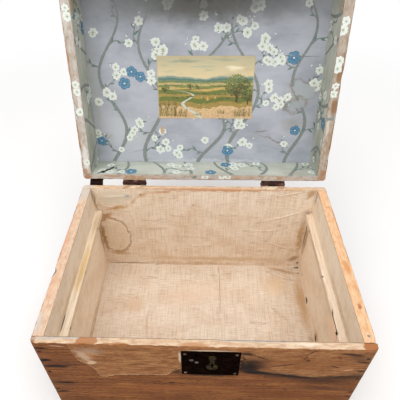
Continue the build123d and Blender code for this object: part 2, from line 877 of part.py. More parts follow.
def lid_boards():
    """Return the lid's frame, its panel and the nails that hold them."""
    wall = (lid_rim, lid_panel_level)
    nails = frame_nails + top_nails
    front_board = rounded_board(full_x, (front, inner_front), wall, front)
    front_board = wear_arris(front_board, lid_rim, front) - nails - hasp_fixings
    back_board = rounded_board(full_x, (inner_back, back), wall, back)
    back_board = wear_arris(back_board, lid_rim, back) - leaf_recesses(lid_rim, 1)
    left_board = block((-right, -inner_right), inner_y, wall) - nails
    right_board = block((inner_right, right), inner_y, wall) - nails
    return {
        "lid_front_board": swing_open(front_board),
        "lid_back_board": swing_open(back_board - nails - lid_screws - lid_tacks),
        "lid_left_board": swing_open(left_board),
        "lid_right_board": swing_open(right_board),
        "lid_panel": swing_open(worn_panel((lid_panel_level, lid_top), lid_top) - top_nails),
        "lid_frame_nails": swing_open(group(frame_nails)),
        "lid_panel_nails": swing_open(group(top_nails)),
    }


def lid_linings():
    """Return the paper in the lid and the card pasted on it."""
    level = lid_panel_level - paper_thickness
    wall = (lid_rim + lining_inset, level)
    card_x = (card_centre_x - card_width / 2, card_centre_x + card_width / 2)
    card_y = (back - card_back_inset - card_height, back - card_back_inset)
    closed = {
        "lid_panel_lining": block(inner_x, inner_y, (level, lid_panel_level)),
        "lid_front_lining": block(inner_x, (inner_front, inner_front + paper_thickness), wall),
        "lid_back_lining": block(inner_x, (inner_back - paper_thickness, inner_back), wall),
        "lid_left_lining": side_lining(-1, wall, paper_thickness, paper_thickness),
        "lid_right_lining": side_lining(1, wall, paper_thickness, paper_thickness),
        "pasted_card": block(card_x, card_y, (level - card_thickness, level)),
    }
    return {name: swing_open(shape) for name, shape in closed.items()}


def hasp_and_plate():
    """Return the hasp folded back over its hinge plate, its pin and its nails."""
    pivot = Axis((0, hasp_pivot_y, hasp_pivot_z), (1, 0, 0))
    pin_half = hasp_side_end + hasp_pin_overhang
    return {
        "hasp_hinge_plate": swing_open(hasp_plate() - hasp_fixings),
        "hasp_plate_nails": swing_open(group(hasp_fixings)),
        "hasp_pin": swing_open(hasp_barrel((hasp_x - pin_half, hasp_x + pin_half), hasp_pin_radius)),
        "hasp": swing_open(hasp_down().rotate(pivot, -180.0)),
    }


def main():
    """Build every piece of the trunk and write one file for each."""
    pieces = {}
    for assembly in (
        case_boards,
        tray_runners,
        case_linings,
        lock,
        hinges,
        back_strap,
        lid_boards,
        lid_linings,
        hasp_and_plate,
    ):
        pieces.update(assembly())
    os.makedirs("parts", exist_ok=True)
    for name, shape in pieces.items():
        export_step(shape, "parts/" + name + ".step")


main()
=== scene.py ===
"""Dress a small pine travel trunk: worn boards, linings, papered lid, pasted card, lock, hinges and strap.

Sizes in the classes are millimetres on the closed trunk. Meshes are made in metres, and the lid's pieces are
swung open, as they stand in the frame.
"""

import logging
import math
import random
from collections.abc import Callable, Iterable, Sequence
from dataclasses import dataclass
from enum import Enum

import bmesh
import bpy
from mathutils import Matrix, Vector, noise


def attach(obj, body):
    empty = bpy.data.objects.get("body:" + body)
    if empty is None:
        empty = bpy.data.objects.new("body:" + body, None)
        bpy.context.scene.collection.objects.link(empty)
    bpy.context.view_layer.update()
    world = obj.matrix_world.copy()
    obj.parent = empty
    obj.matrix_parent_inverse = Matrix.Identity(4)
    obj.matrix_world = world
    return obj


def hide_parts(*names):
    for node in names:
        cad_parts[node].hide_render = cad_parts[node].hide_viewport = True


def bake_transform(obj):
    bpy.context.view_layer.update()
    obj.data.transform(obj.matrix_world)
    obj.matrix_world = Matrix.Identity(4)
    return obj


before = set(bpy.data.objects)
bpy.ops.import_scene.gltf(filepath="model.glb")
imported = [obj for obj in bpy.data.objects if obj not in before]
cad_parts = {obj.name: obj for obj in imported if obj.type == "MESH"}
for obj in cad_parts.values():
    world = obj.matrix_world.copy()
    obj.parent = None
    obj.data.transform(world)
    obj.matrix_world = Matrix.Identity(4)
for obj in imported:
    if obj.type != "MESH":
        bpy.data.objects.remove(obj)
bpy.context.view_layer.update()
MM = 0.001
LOG = logging.getLogger("trunk")

Point = tuple[float, float, float]
Flat = tuple[float, float]
Socket = bpy.types.NodeSocket
Feed = Socket | float | str | tuple


@dataclass(frozen=True)
class TrunkFrame:
    """The trunk's main sizes and the swing of its lid."""

    half_width: float = 200.0
    half_depth: float = 142.5
    rim: float = 200.0
    lid_rim: float = 200.3
    lid_ceiling: float = 254.8
    lid_top: float = 263.8
    side: float = 14.5
    end: float = 9.0
    bottom: float = 9.0
    axis_y: float = 148.4
    axis_z: float = 200.15
    opening: float = 103.3

    @property
    def inner_x(self) -> float:
        """Half the clear width between the side boards."""
        return self.half_width - self.side

    @property
    def inner_y(self) -> float:
        """Half the clear depth between the front and back boards."""
        return self.half_depth - self.end

    def opened(self) -> Matrix:
        """The move, in metres, from the closed lid to the open one."""
        axis = Vector((0.0, self.axis_y, self.axis_z)) * MM
        turn = Matrix.Rotation(-math.radians(self.opening), 4, "X")
        return Matrix.Translation(axis) @ turn @ Matrix.Translation(-axis)


TRUNK = TrunkFrame()


def tint(code: str) -> tuple[float, float, float, float]:
    """Turn a written colour into the linear one that a socket takes.

    Args:
        code: Six figures, as in "a0b1c2".

    Returns:
        Red, green, blue and a full alpha.
    """
    parts = [int(code[place : place + 2], 16) / 255 for place in (0, 2, 4)]
    linear = [part / 12.92 if part <= 0.04045 else ((part + 0.055) / 1.055) ** 2.4 for part in parts]
    return (linear[0], linear[1], linear[2], 1.0)


def ripple(place: Point, seed: float) -> float:
    """Smooth unevenness from -1 to 1 at a place, the same in every run."""
    return noise.noise(Vector(place) + Vector((seed * 17.3, seed * 5.1, seed * 9.7)))


@dataclass(frozen=True)
class Mark:
    """A stain, chip, crack or worn patch on a face, with a soft ragged outline.

    Attributes:
        at: Centre in the face's two coordinates.
        size: Half-lengths along the mark's own two directions.
        colour: The colour that it leaves.
        turn: Turn of its long direction, in degrees.
        soft: Share of its size over which it fades.
        share: How much of the colour it leaves at its middle.
        ring: Width of the rim, as a share, where only the rim shows; 0 for a full patch.
    """

    at: Flat
    size: Flat
    colour: str
    turn: float = 0.0
    soft: float = 0.5
    share: float = 1.0
    ring: float = 0.0


def mark_rows(*rows: tuple) -> tuple[Mark, ...]:
    """Marks from the rows of a table.

    Args:
        *rows: Both centre coordinates, both half-lengths and the colour, then turn, soft, share and ring as given.

    Returns:
        One mark for each row.
    """
    return tuple(Mark((x, y), (long, wide), colour, *rest) for x, y, long, wide, colour, *rest in rows)


def in_words(node: str) -> str:
    """A node's name, written in words."""
    return node.replace("_", " ").capitalize()


class Shader:
    """One material's node tree, with a short call for each kind of node it is made of.

    Attributes:
        thin: Half-width in millimetres below which a mark keeps a straighter edge.
        calmed: How much of the push such a mark gets.
    """

    thin = 2.6
    calmed = 0.2

    def __init__(self, name: str) -> None:
        """Start an empty tree with one surface shader.

        Args:
            name: The material's name.
        """
        self.material = bpy.data.materials.new(name)
        self.material.use_nodes = True
        self.tree = self.material.node_tree
        self.tree.nodes.clear()
        output = self.tree.nodes.new("ShaderNodeOutputMaterial")
        self.surface = self.tree.nodes.new("ShaderNodeBsdfPrincipled")
        self.tree.links.new(self.surface.outputs[0], output.inputs[0])

    def put(self, socket: Socket, value: Feed) -> None:
        """Link a socket, or set its plain number, vector or colour.

        Args:
            socket: The input.
            value: What goes into it.
        """
        if isinstance(value, bpy.types.NodeSocket):
            self.tree.links.new(value, socket)
        else:
            socket.default_value = tint(value) if isinstance(value, str) else value

    def add(self, kind: str, feeds: dict[int | str, Feed], output: int | str = 0, **settings: object) -> Socket:
        """Make one node and return one of its outputs.

        Args:
            kind: The node's type after "ShaderNode".
            feeds: What goes into which input.
            output: The output to return.
            **settings: The node's own settings.

        Returns:
            The output socket.
        """
        node = self.tree.nodes.new("ShaderNode" + kind)
        for key, value in settings.items():
            setattr(node, key, value)
        for key, value in feeds.items():
            self.put(node.inputs[key], value)
        return node.outputs[output]

    def place(self) -> Socket:
        """The face coordinates that a piece's mesh carries, in millimetres."""
        return self.add("Attribute", {}, "Vector", attribute_name="place")

    def wear(self) -> Socket:
        """How near a point is to a worn arris, from 0 to 1; on a lining, how far its rucks lift it, which sets their
        painted highlight and shade.
        """
        return self.add("Attribute", {}, "Fac", attribute_name="wear")

    def metal_place(self) -> Socket:
        """Coordinates in millimetres for a piece that carries none of its own."""
        return self.vector("MULTIPLY", self.add("TexCoord", {}, "Object"), (1 / MM,) * 3)

    def calc(self, operation: str, *values: Feed) -> Socket:
        """One sum of numbers."""
        return self.add("Math", dict(enumerate(values)), operation=operation)

    def vector(self, operation: str, *values: Feed, output: int = 0) -> Socket:
        """One sum of vectors."""
        return self.add("VectorMath", dict(enumerate(values)), output, operation=operation)

    def split(self, where: Socket) -> tuple[Socket, Socket, Socket]:
        """The three numbers of a vector."""
        node = self.tree.nodes.new("ShaderNodeSeparateXYZ")
        self.put(node.inputs[0], where)
        return node.outputs[0], node.outputs[1], node.outputs[2]

    def join(self, x: Feed, y: Feed, z: Feed = 0.0) -> Socket:
        """A vector from three numbers."""
        return self.add("CombineXYZ", {0: x, 1: y, 2: z})

    def cloud(self, where: Socket, lengths: Point, detail: float = 3.0, rough: float = 0.55) -> Socket:
        """Soft noise whose spots have the given lengths.

        Args:
            where: Coordinates in millimetres.
            lengths: Size of a spot along each coordinate.
            detail: How many finer layers it has.
            rough: How strong those layers are.

        Returns:
            A number about 0.5.
        """
        scaled = self.vector("DIVIDE", where, lengths)
        return self.add("TexNoise", {"Vector": scaled, "Scale": 1.0, "Detail": detail, "Roughness": rough})

    def step(self, value: Feed, low: float, high: float, bottom: float = 0.0, top: float = 1.0) -> Socket:
        """A smooth step from bottom to top while value goes from low to high."""
        feeds = {0: value, 1: low, 2: high, 3: bottom, 4: top}
        if low > high:
            feeds = {0: value, 1: high, 2: low, 3: top, 4: bottom}
        return self.add("MapRange", feeds, interpolation_type="SMOOTHSTEP")

    def line(self, value: Feed, low: float, high: float, bottom: float, top: float) -> Socket:
        """A straight run from bottom to top while value goes from low to high."""
        return self.add("MapRange", {0: value, 1: low, 2: high, 3: bottom, 4: top})

    def blend(self, share: Feed, under: Feed, over: Feed, how: str = "MIX") -> Socket:
        """Lay one colour over another.

        Args:
            share: How much of it shows.
            under: The colour below.
            over: The colour on top.
            how: The blend's name.

        Returns:
            The mixed colour.
        """
        return self.add("Mix", {0: share, 6: under, 7: over}, 2, data_type="RGBA", blend_type=how)

    def over(self, under: Feed, top: Feed, value: Feed, low: float, high: float, share: float = 1.0) -> Socket:
        """Lay a colour over another, more of it as value goes from low to high."""
        return self.blend(self.step(value, low, high, 0.0, share), under, top)

    def darken(self, under: Feed, value: Feed, low: float, high: float, tone: str, share: float) -> Socket:
        """Darken a colour by a tone where value is low, and less as it goes to high."""
        return self.blend(share, under, self.ramp(value, [(low, tone), (high, "ffffff")]), "MULTIPLY")

    def times(self, first: Feed, second: Feed) -> Socket:
        """The product of two numbers."""
        return self.calc("MULTIPLY", first, second)

    def waver(self, value: Feed, noise_value: Socket, low: float, high: float, push: float) -> Socket:
        """A number pushed up and down by at most push, as noise goes from low to high."""
        return self.calc("ADD", value, self.line(noise_value, low, high, -push, push))

    def ramp(self, value: Feed, stops: Sequence[tuple[float, str]]) -> Socket:
        """Colours by a number, from stops of place and colour."""
        node = self.tree.nodes.new("ShaderNodeValToRGB")
        self.put(node.inputs[0], value)
        return self.coloured(node, [(place, tint(colour)) for place, colour in stops])

    def coloured(self, node: bpy.types.Node, stops: Sequence[tuple[float, tuple]]) -> Socket:
        """Set the stops of a ramp node and return its output.

        Args:
            node: The node.
            stops: Places and linear colours, in order.

        Returns:
            The ramp's colour.
        """
        elements = node.color_ramp.elements
        while len(elements) < len(stops):
            elements.new(1.0)
        for element, (place, colour) in zip(elements, stops):
            element.position = place
            element.color = colour
        return node.outputs[0]

    def outline(self, value: Socket, points: Sequence[Flat]) -> Socket:
        """The height of a ragged line over its length, from points along it.

        Args:
            value: Where along the line.
            points: Pairs of length and height, in order.

        Returns:
            The line's height there.
        """
        first, last = points[0][0], points[-1][0]
        heights = [height for _, height in points]
        low, high = min(heights), max(heights)
        node = self.tree.nodes.new("ShaderNodeValToRGB")
        self.put(node.inputs[0], self.line(value, first, last, 0.0, 1.0))
        stops = [((along - first) / (last - first), (height - low) / (high - low)) for along, height in points]
        grey = self.coloured(node, [(place, (share, share, share, 1.0)) for place, share in stops])
        return self.line(grey, 0.0, 1.0, low, high)

    def patch(self, where: Socket, mark: Mark) -> Socket:
        """How much of a mark shows at a place of its face."""
        inside = self.add(
            "Mapping",
            {
                "Vector": where,
                "Location": (*mark.at, 0.0),
                "Rotation": (0.0, 0.0, math.radians(mark.turn)),
                "Scale": (*mark.size, 1.0),
            },
            vector_type="TEXTURE",
        )
        reach = self.vector("LENGTH", inside, output=1)
        shown = self.step(reach, 1.0, 1.0 - mark.soft, 0.0, mark.share)
        if mark.ring:
            shown = self.calc("MULTIPLY", shown, self.step(reach, 1.0 - mark.soft - mark.ring, 1.0 - mark.soft))
        return shown

    def ragged(self, across: Feed, up: Feed, place: Socket, lengths: Point, push: Flat) -> Socket:
        """Push face coordinates about, so that the marks' outlines are ragged.

        Args:
            across: The first coordinate.
            up: The second.
            place: The piece's coordinates, which steer the noise.
            lengths: Size of its bays along each coordinate.
            push: How far it pushes in both directions.

        Returns:
            The pushed coordinates.
        """
        spot = self.vector("DIVIDE", place, lengths)
        noise_colour = self.add("TexNoise", {"Vector": spot, "Scale": 1.0, "Detail": 5.0, "Roughness": 0.66}, 1)
        shift = self.vector("SUBTRACT", noise_colour, (0.5,) * 3)
        return self.vector("ADD", self.join(across, up), self.vector("MULTIPLY", shift, (*push, 0.0)))

    def marked(
        self, colour: Feed, spot: tuple[Feed, Feed, Socket], marks: Iterable[Mark], lengths: Point, push: Flat
    ) -> Socket:
        """Lay every mark of a face over its colour; thin ones keep straighter edges.

        Args:
            colour: The colour below.
            spot: The face's two coordinates, and the piece's own for the noise.
            marks: The marks, the lowest first.
            lengths: Size of the bays in their outlines.
            push: Depth of those bays in both directions.

        Returns:
            The marked colour.
        """
        rough = self.ragged(*spot, lengths, push)
        calm = self.ragged(*spot, lengths, (push[0] * self.calmed, push[1] * self.calmed))
        for mark in marks:
            where = calm if min(mark.size) < self.thin else rough
            colour = self.blend(self.patch(where, mark), colour, mark.colour)
        return colour

    def pine(self, place: Socket, seed: float, pith: Flat) -> tuple[Socket, Socket]:
        """Soft grain and fibre of a sawn pine board.

        Args:
            place: Length, height and depth in the board.
            seed: Sets this board's own figure.
            pith: Height and depth of the tree's middle in the board.

        Returns:
            The grain and the fibre, both about 0.5.
        """
        shifted = self.vector("ADD", place, (seed * 311.0, seed * 71.0, seed * 13.0))
        bend = self.cloud(shifted, (230.0, 70.0, 60.0), 3.0)
        _, height, depth = self.split(place)
        rise = self.calc("ADD", self.calc("SUBTRACT", height, pith[0]), self.line(bend, 0.0, 1.0, -17.0, 17.0))
        inward = self.calc("SUBTRACT", depth, pith[1])
        reach = self.calc("SQRT", self.calc("MULTIPLY_ADD", rise, rise, self.calc("MULTIPLY", inward, inward)))
        rings = self.add(
            "TexNoise",
            {"W": self.calc("MULTIPLY_ADD", reach, 0.24, seed), "Scale": 1.0, "Detail": 3.0, "Roughness": 0.62},
            noise_dimensions="1D",
        )
        streaks = self.cloud(shifted, (150.0, 3.4, 4.0), 5.0, 0.62)
        grain = self.calc("MULTIPLY_ADD", rings, 0.4, self.calc("MULTIPLY", streaks, 0.6))
        return grain, self.cloud(shifted, (24.0, 0.8, 0.8), 3.0, 0.6)

    def dents(self, *layers: tuple[Socket, float]) -> Socket:
        """The surface's direction under layers of height, each with its depth in millimetres."""
        normal: Feed | None = None
        for height, depth in layers:
            feeds: dict[int | str, Feed] = {"Height": height, "Distance": depth * MM, "Strength": 1.0}
            if normal is not None:
                feeds["Normal"] = normal
            normal = self.add("Bump", feeds)
        return normal

    def finish(self, colour: Feed, roughness: Feed, normal: Socket, **others: Feed) -> bpy.types.Material:
        """Feed the surface shader and return the material.

        Args:
            colour: The base colour.
            roughness: The roughness.
            normal: The dented direction.
            **others: What goes into the shader's other sockets, with _ for a blank in the name.

        Returns:
            The material.
        """
        self.put(self.surface.inputs["Base Color"], colour)
        self.put(self.surface.inputs["Roughness"], roughness)
        self.put(self.surface.inputs["Normal"], normal)
        for name, value in others.items():
            self.put(self.surface.inputs[name.replace("_", " ")], value)
        return self.material


@dataclass(frozen=True)
class PineFinish:
    """Weathered pine with a painted rim, its own stains, and on one board a torn pale surface layer, with a painted
    highlight on its torn edge and painted shadow below it.

    Attributes:
        name: The material's name.
        seed: Sets the board's own figure.
        dark: Colour of the late rings.
        warm: Colour between the rings.
        pale: Colour of the early wood.
        rim: Paint on the rim.
        rim_shade: The same paint where it is thin.
        bare: Wood that shows through the rim's paint.
        pith: Height and depth of the tree's middle in the board.
        nibbled: How far wear has eaten the rim's paint from its outer edge.
        specks: How strongly pale specks show in the rim's paint.
        face_marks: Stains of the outer face, by length and height from the rim.
        rim_marks: Marks of the rim, by length and depth.
        skin: Lower edge of the pale layer, or nothing.
        skin_colour: Colour of that layer.
    """

    name: str
    seed: float
    dark: str = "5e3419"
    warm: str = "83502c"
    pale: str = "9a6538"
    rim: str = "e2c6a6"
    rim_shade: str = "cba380"
    bare: str = "a8744b"
    pith: Flat = (-150.0, -30.0)
    nibbled: float = 1.6
    specks: float = 0.5
    face_marks: tuple[Mark, ...] = ()
    rim_marks: tuple[Mark, ...] = ()
    skin: tuple[Flat, ...] = ()
    skin_colour: str = "ae7c50"

    def make(self) -> bpy.types.Material:
        """Build the material.

        Returns:
            The finished material.
        """
        n = Shader(self.name)
        place = n.place()
        along, up, depth = n.split(place)
        rings, fibre = n.pine(place, self.seed, self.pith)
        wood = n.ramp(rings, [(0.3, self.dark), (0.48, self.warm), (0.68, self.pale)])
        wood = n.darken(wood, fibre, 0.25, 0.55, "8c8078", 0.75)
        speckle = n.cloud(place, (7.0, 1.8, 2.4), 5.0, 0.72)
        wood = n.darken(wood, speckle, 0.34, 0.53, "685548", 0.85)
        age = n.cloud(place, (80.0, 24.0, 30.0), 4.0, 0.6)
        wood = n.over(wood, self.dark, age, 0.5, 0.7, 0.8)
        wood = n.over(wood, self.pale, age, 0.46, 0.3, 0.6)
        streak = n.cloud(place, (56.0, 2.6, 3.0), 4.0, 0.62)
        wood = n.over(wood, self.dark, streak, 0.53, 0.66, 0.75)
        wood = n.over(wood, self.pale, streak, 0.44, 0.33, 0.55)
        heights = [(fibre, 0.22), (rings, 0.3)]
        if self.skin:
            gap = n.calc("SUBTRACT", up, n.outline(along, self.skin))
            gap = n.waver(gap, n.cloud(place, (7.0, 5.0, 7.0), 4.0, 0.6), 0.0, 1.0, 4.0)
            skin = n.step(gap, -0.5, 0.7)
            layer = n.ramp(n.cloud(place, (26.0, 7.0, 8.0), 5.0, 0.7), [(0.38, "855330"), (0.6, self.skin_colour)])
            layer = n.darken(layer, fibre, 0.3, 0.56, "9c8c7e", 0.8)
            layer = n.darken(layer, speckle, 0.34, 0.5, "7d6656", 0.7)
            layer = n.over(layer, "c6a07a", speckle, 0.58, 0.7, 0.4)
            layer = n.over(layer, "6f4527", streak, 0.54, 0.68, 0.6)
            layer = n.over(layer, "c39468", streak, 0.42, 0.32, 0.45)
            wood = n.blend(n.times(skin, 0.92), wood, layer)
            # Painted highlight just inside the torn layer's lower edge, and painted shadow in a thin band just below
            # that edge.
            torn_edge_highlight = n.times(n.step(gap, -0.4, 0.3), n.step(gap, 2.8, 0.6))
            wood = n.blend(n.times(torn_edge_highlight, 0.45), wood, "c9a37c")
            shade = n.times(n.step(gap, -2.6, -0.6), n.step(gap, 0.0, -0.5))
            wood = n.blend(n.times(shade, 0.55), wood, "3f2412")
            heights.append((skin, 0.5))
        wood = n.marked(wood, (along, up, place), self.face_marks, (24.0, 6.0, 9.0), (22.0, 8.0))
        worn = n.times(n.wear(), n.step(n.cloud(place, (16.0, 6.0, 6.0), 4.0), 0.42, 0.62))
        wood = n.blend(n.times(worn, 0.45), wood, self.pale)
        flake = n.cloud(place, (11.0, 5.0, 3.0), 4.0, 0.62)
        top = n.step(n.waver(up, flake, 0.0, 1.0, 1.1), -1.2, -0.5)
        kept = n.step(n.waver(depth, flake, 0.3, 0.7, self.nibbled), 0.1, 0.7)
        paint = n.ramp(n.cloud(place, (12.0, 6.0, 4.0), 6.0, 0.72), [(0.38, self.rim_shade), (0.56, self.rim)])
        dirt = n.cloud(place, (6.0, 5.0, 2.4), 5.0, 0.7)
        paint = n.over(paint, self.rim_shade, dirt, 0.55, 0.72, 0.6)
        paint = n.over(paint, "efe3d6", speckle, 0.56, 0.7, self.specks)
        paint = n.darken(paint, fibre, 0.3, 0.55, "b09a86", 0.2)
        paint = n.marked(paint, (along, depth, place), self.rim_marks, (7.0, 4.0, 4.0), (9.0, 6.0))
        coat = n.times(top, kept)
        under = n.blend(top, wood, n.blend(n.step(rings, 0.4, 0.6), self.bare, self.warm))
        colour = n.blend(coat, under, paint)
        heights.append((coat, 0.12))
        return n.finish(colour, n.line(fibre, 0.2, 0.8, 0.62, 0.86), n.dents(*heights), Specular_IOR_Level=0.1)


@dataclass(frozen=True)
class RunnerFinish:
    """Unpainted pine of the tray runners, rubbed yellow where a tray slid.

    Attributes:
        name: The material's name.
        seed: Sets the board's own figure.
        pale: The wood's main colour.
        shade: Its darker grain.
        marks: Its stains, cracks and bare places, by length and distance from the wall, over the arris and down.
    """

    name: str
    seed: float
    pale: str
    shade: str
    marks: tuple[Mark, ...] = ()

    def make(self) -> bpy.types.Material:
        """Build the material.

        Returns:
            The finished material.
        """
        n = Shader(self.name)
        place = n.place()
        along, up, depth = n.split(place)
        rings, fibre = n.pine(place, self.seed, (-30.0, 22.0))
        wood = n.ramp(rings, [(0.36, self.shade), (0.55, self.pale)])
        wood = n.darken(wood, fibre, 0.28, 0.55, "a08c7a", 0.55)
        wood = n.over(wood, self.shade, n.cloud(place, (40.0, 6.0, 6.0), 4.0), 0.5, 0.7, 0.5)
        unrolled = n.calc("SUBTRACT", depth, up)
        wood = n.marked(wood, (along, unrolled, place), self.marks, (9.0, 5.0, 5.0), (7.0, 2.4))
        wood = n.blend(n.times(n.wear(), 0.3), wood, self.pale)
        return n.finish(wood, n.line(fibre, 0.2, 0.8, 0.6, 0.85), n.dents((fibre, 0.12), (rings, 0.12)),
                        Specular_IOR_Level=0.2)


@dataclass(frozen=True)
class LinenFinish:
    """Old linen glued to the boards, creased and water-stained, with painted highlight and shade on its rucks and
    small tucks.

    Attributes:
        name: The material's name.
        pale: The cloth's main colour.
        shade: Its darker places.
        slub_and_tuck_shade: How strongly thick threads show, and how strongly the painted shade and highlight of
            small tucks show.
        marks: Its stains, by the face's two coordinates.
    """

    name: str
    pale: str
    shade: str
    slub_and_tuck_shade: float = 0.55
    marks: tuple[Mark, ...] = ()

    def make(self) -> bpy.types.Material:
        """Build the material.

        Returns:
            The finished material.
        """
        n = Shader(self.name)
        place = n.place()
        across, up, _ = n.split(place)
        warp = n.cloud(place, (2.0, 44.0, 1.0), 4.0, 0.7)
        weft = n.cloud(place, (20.0, 1.7, 1.0), 4.0, 0.7)
        threads = n.calc("MULTIPLY_ADD", warp, 0.5, n.times(weft, 0.5))
        blotch = n.cloud(place, (60.0, 40.0, 20.0), 6.0, 0.6)
        cloth = n.ramp(blotch, [(0.3, self.shade), (0.56, self.pale)])
        cloth = n.darken(cloth, threads, 0.38, 0.54, "bfab98", self.slub_and_tuck_shade)
        # Painted shade and painted highlight of small tucks: a dark line from the noise, and the same line 1.5 mm
        # higher in a pale colour as its lit side.
        for shift, tone, share in ((0.0, "a5805c", 0.6), (1.5, "fbeedd", 0.6)):
            tuck_shade_and_highlight = n.cloud(n.vector("ADD", place, (0.0, -shift, 0.0)), (8.0, 1.7, 1.0), 1.0, 0.5)
            cloth = n.blend(n.step(tuck_shade_and_highlight, 0.68, 0.78, 0.0, share * self.slub_and_tuck_shade * 1.8), cloth, tone)
        grime = n.cloud(place, (8.0, 6.0, 5.0), 5.0, 0.68)
        cloth = n.over(cloth, self.shade, grime, 0.6, 0.78, 0.4)
        speck = n.cloud(place, (2.0,) * 3, 1.0)
        cloth = n.over(cloth, "6e543d", speck, 0.76, 0.8, 0.7)
        # Painted highlight on the tops of the rucks and painted shade around their feet, both from the ruck height
        # that the lining's mesh carries.
        ridge = n.wear()
        foot = n.times(n.step(ridge, 0.03, 0.2), n.step(ridge, 0.6, 0.25))
        cloth = n.blend(n.times(foot, 0.3), cloth, "a37c56")
        cloth = n.over(cloth, "f6e8d4", ridge, 0.3, 1.0, 0.4)
        cloth = n.marked(cloth, (across, up, place), self.marks, (15.0, 13.0, 10.0), (17.0, 17.0))
        lines = [n.calc("SINE", n.times(value, 2 * math.pi / 1.1)) for value in (across, up)]
        weave = n.times(lines[0], lines[1])
        return n.finish(cloth, 0.92, n.dents((weave, 0.04), (threads, 0.18), (blotch, 0.8)),
                        Specular_IOR_Level=0.15)


class PaperTone(Enum):
    """Base and darker colour of the lid's paper where it is clean, on a wall, or rubbed on a rim."""

    PANEL = ("b4b8c1", "9ea3ac")
    WALL = ("c3c6bb", "a5a99d")
    RIM = ("c0b9b0", "a09589")


PAPER_BAYS = ((17.0, 14.0, 9.0), (26.0, 26.0))


def paper_colour(n: Shader, place: Socket, tone: PaperTone, marks: tuple[Mark, ...]) -> Socket:
    """The colour of the lid's paper before anything is printed on it.

    Args:
        n: The tree that it goes into.
        place: The face's coordinates.
        tone: Which face it is on.
        marks: Its stains and torn places, and on the panel painted shadow by the front wall.

    Returns:
        The colour.
    """
    across, up, _ = n.split(place)
    base, shade = tone.value
    haze = n.cloud(place, (70.0, 44.0, 20.0), 4.0, 0.55)
    colour = n.ramp(haze, [(0.36, shade), (0.58, base)])
    creases = n.cloud(place, (40.0, 3.2, 3.0), 4.0, 0.6)
    colour = n.over(colour, "c3c3c8", creases, 0.6, 0.74, 0.35)
    colour = n.over(colour, "7d7d86", creases, 0.36, 0.26, 0.4)
    foxing = n.cloud(place, (5.0,) * 3, 4.0, 0.68)
    colour = n.over(colour, "8f8073", foxing, 0.64, 0.78, 0.5)
    return n.marked(colour, (across, up, place), marks, *PAPER_BAYS)


@dataclass(frozen=True)
class PaperFinish:
    """Plain ground of the lid's paper."""

    name: str
    tone: PaperTone
    marks: tuple[Mark, ...] = ()

    def make(self) -> bpy.types.Material:
        """Build the material."""
        n = Shader(self.name)
        place = n.place()
        colour = paper_colour(n, place, self.tone, self.marks)
        fibre = n.cloud(place, (1.2,) * 3, 3.0)
        ruck = n.cloud(place, (34.0, 7.0, 6.0), 3.0)
        return n.finish(colour, n.line(fibre, 0.3, 0.7, 0.7, 0.85), n.dents((fibre, 0.04), (ruck, 0.5)),
                        Specular_IOR_Level=0.25)


class Printed(Enum):
    """Colours of one print, in the order of its finishes."""

    @property
    def at(self) -> int:
        """This colour's number among its print's finishes."""
        return list(type(self)).index(self)


class Ink(Printed):
    """The colours printed on the lid's paper."""

    STEM = "7a827d"
    LEAF = "55776f"
    PETAL = "e2e8e0"
    SHADE = "c3cabc"
    HEART = "979562"
    BLUE = "4182a4"
    DEEP = "2a5876"


@dataclass(frozen=True)
class InkFinish:
    """One printed colour, rubbed thin where the paper is worn.

    Attributes:
        ink: The colour.
        tone: The paper that it is printed on.
        marks: The paper's marks.
        torn: A mark with a larger share than this has taken the print off; the painted shadow by the panel's front
            wall passes it too, so the print mostly fades out under it.
    """

    ink: Ink
    tone: PaperTone
    marks: tuple[Mark, ...] = ()
    torn: float = 0.75

    def make(self) -> bpy.types.Material:
        """Build the material."""
        n = Shader(f"Ink {self.ink.name.lower()} {self.tone.name.lower()}")
        place = n.place()
        across, up, _ = n.split(place)
        paper = paper_colour(n, place, self.tone, self.marks)
        thin = n.cloud(place, (5.0,) * 3, 5.0, 0.7)
        shown = n.step(thin, 0.78, 0.6, 0.3, 0.94)
        ragged = n.ragged(across, up, place, *PAPER_BAYS)
        for mark in self.marks:
            if mark.share > self.torn:
                shown = n.times(shown, n.calc("SUBTRACT", 1.0, n.patch(ragged, mark)))
        tone = n.blend(n.step(n.cloud(place, (3.0,) * 3, 3.0), 0.4, 0.65, 0.0, 0.14), self.ink.value, "d8dbd8")
        return n.finish(n.blend(shown, paper, tone), 0.78, n.dents((thin, 0.05)), Specular_IOR_Level=0.25)


CARD_SIZE = (154.0, 100.0)


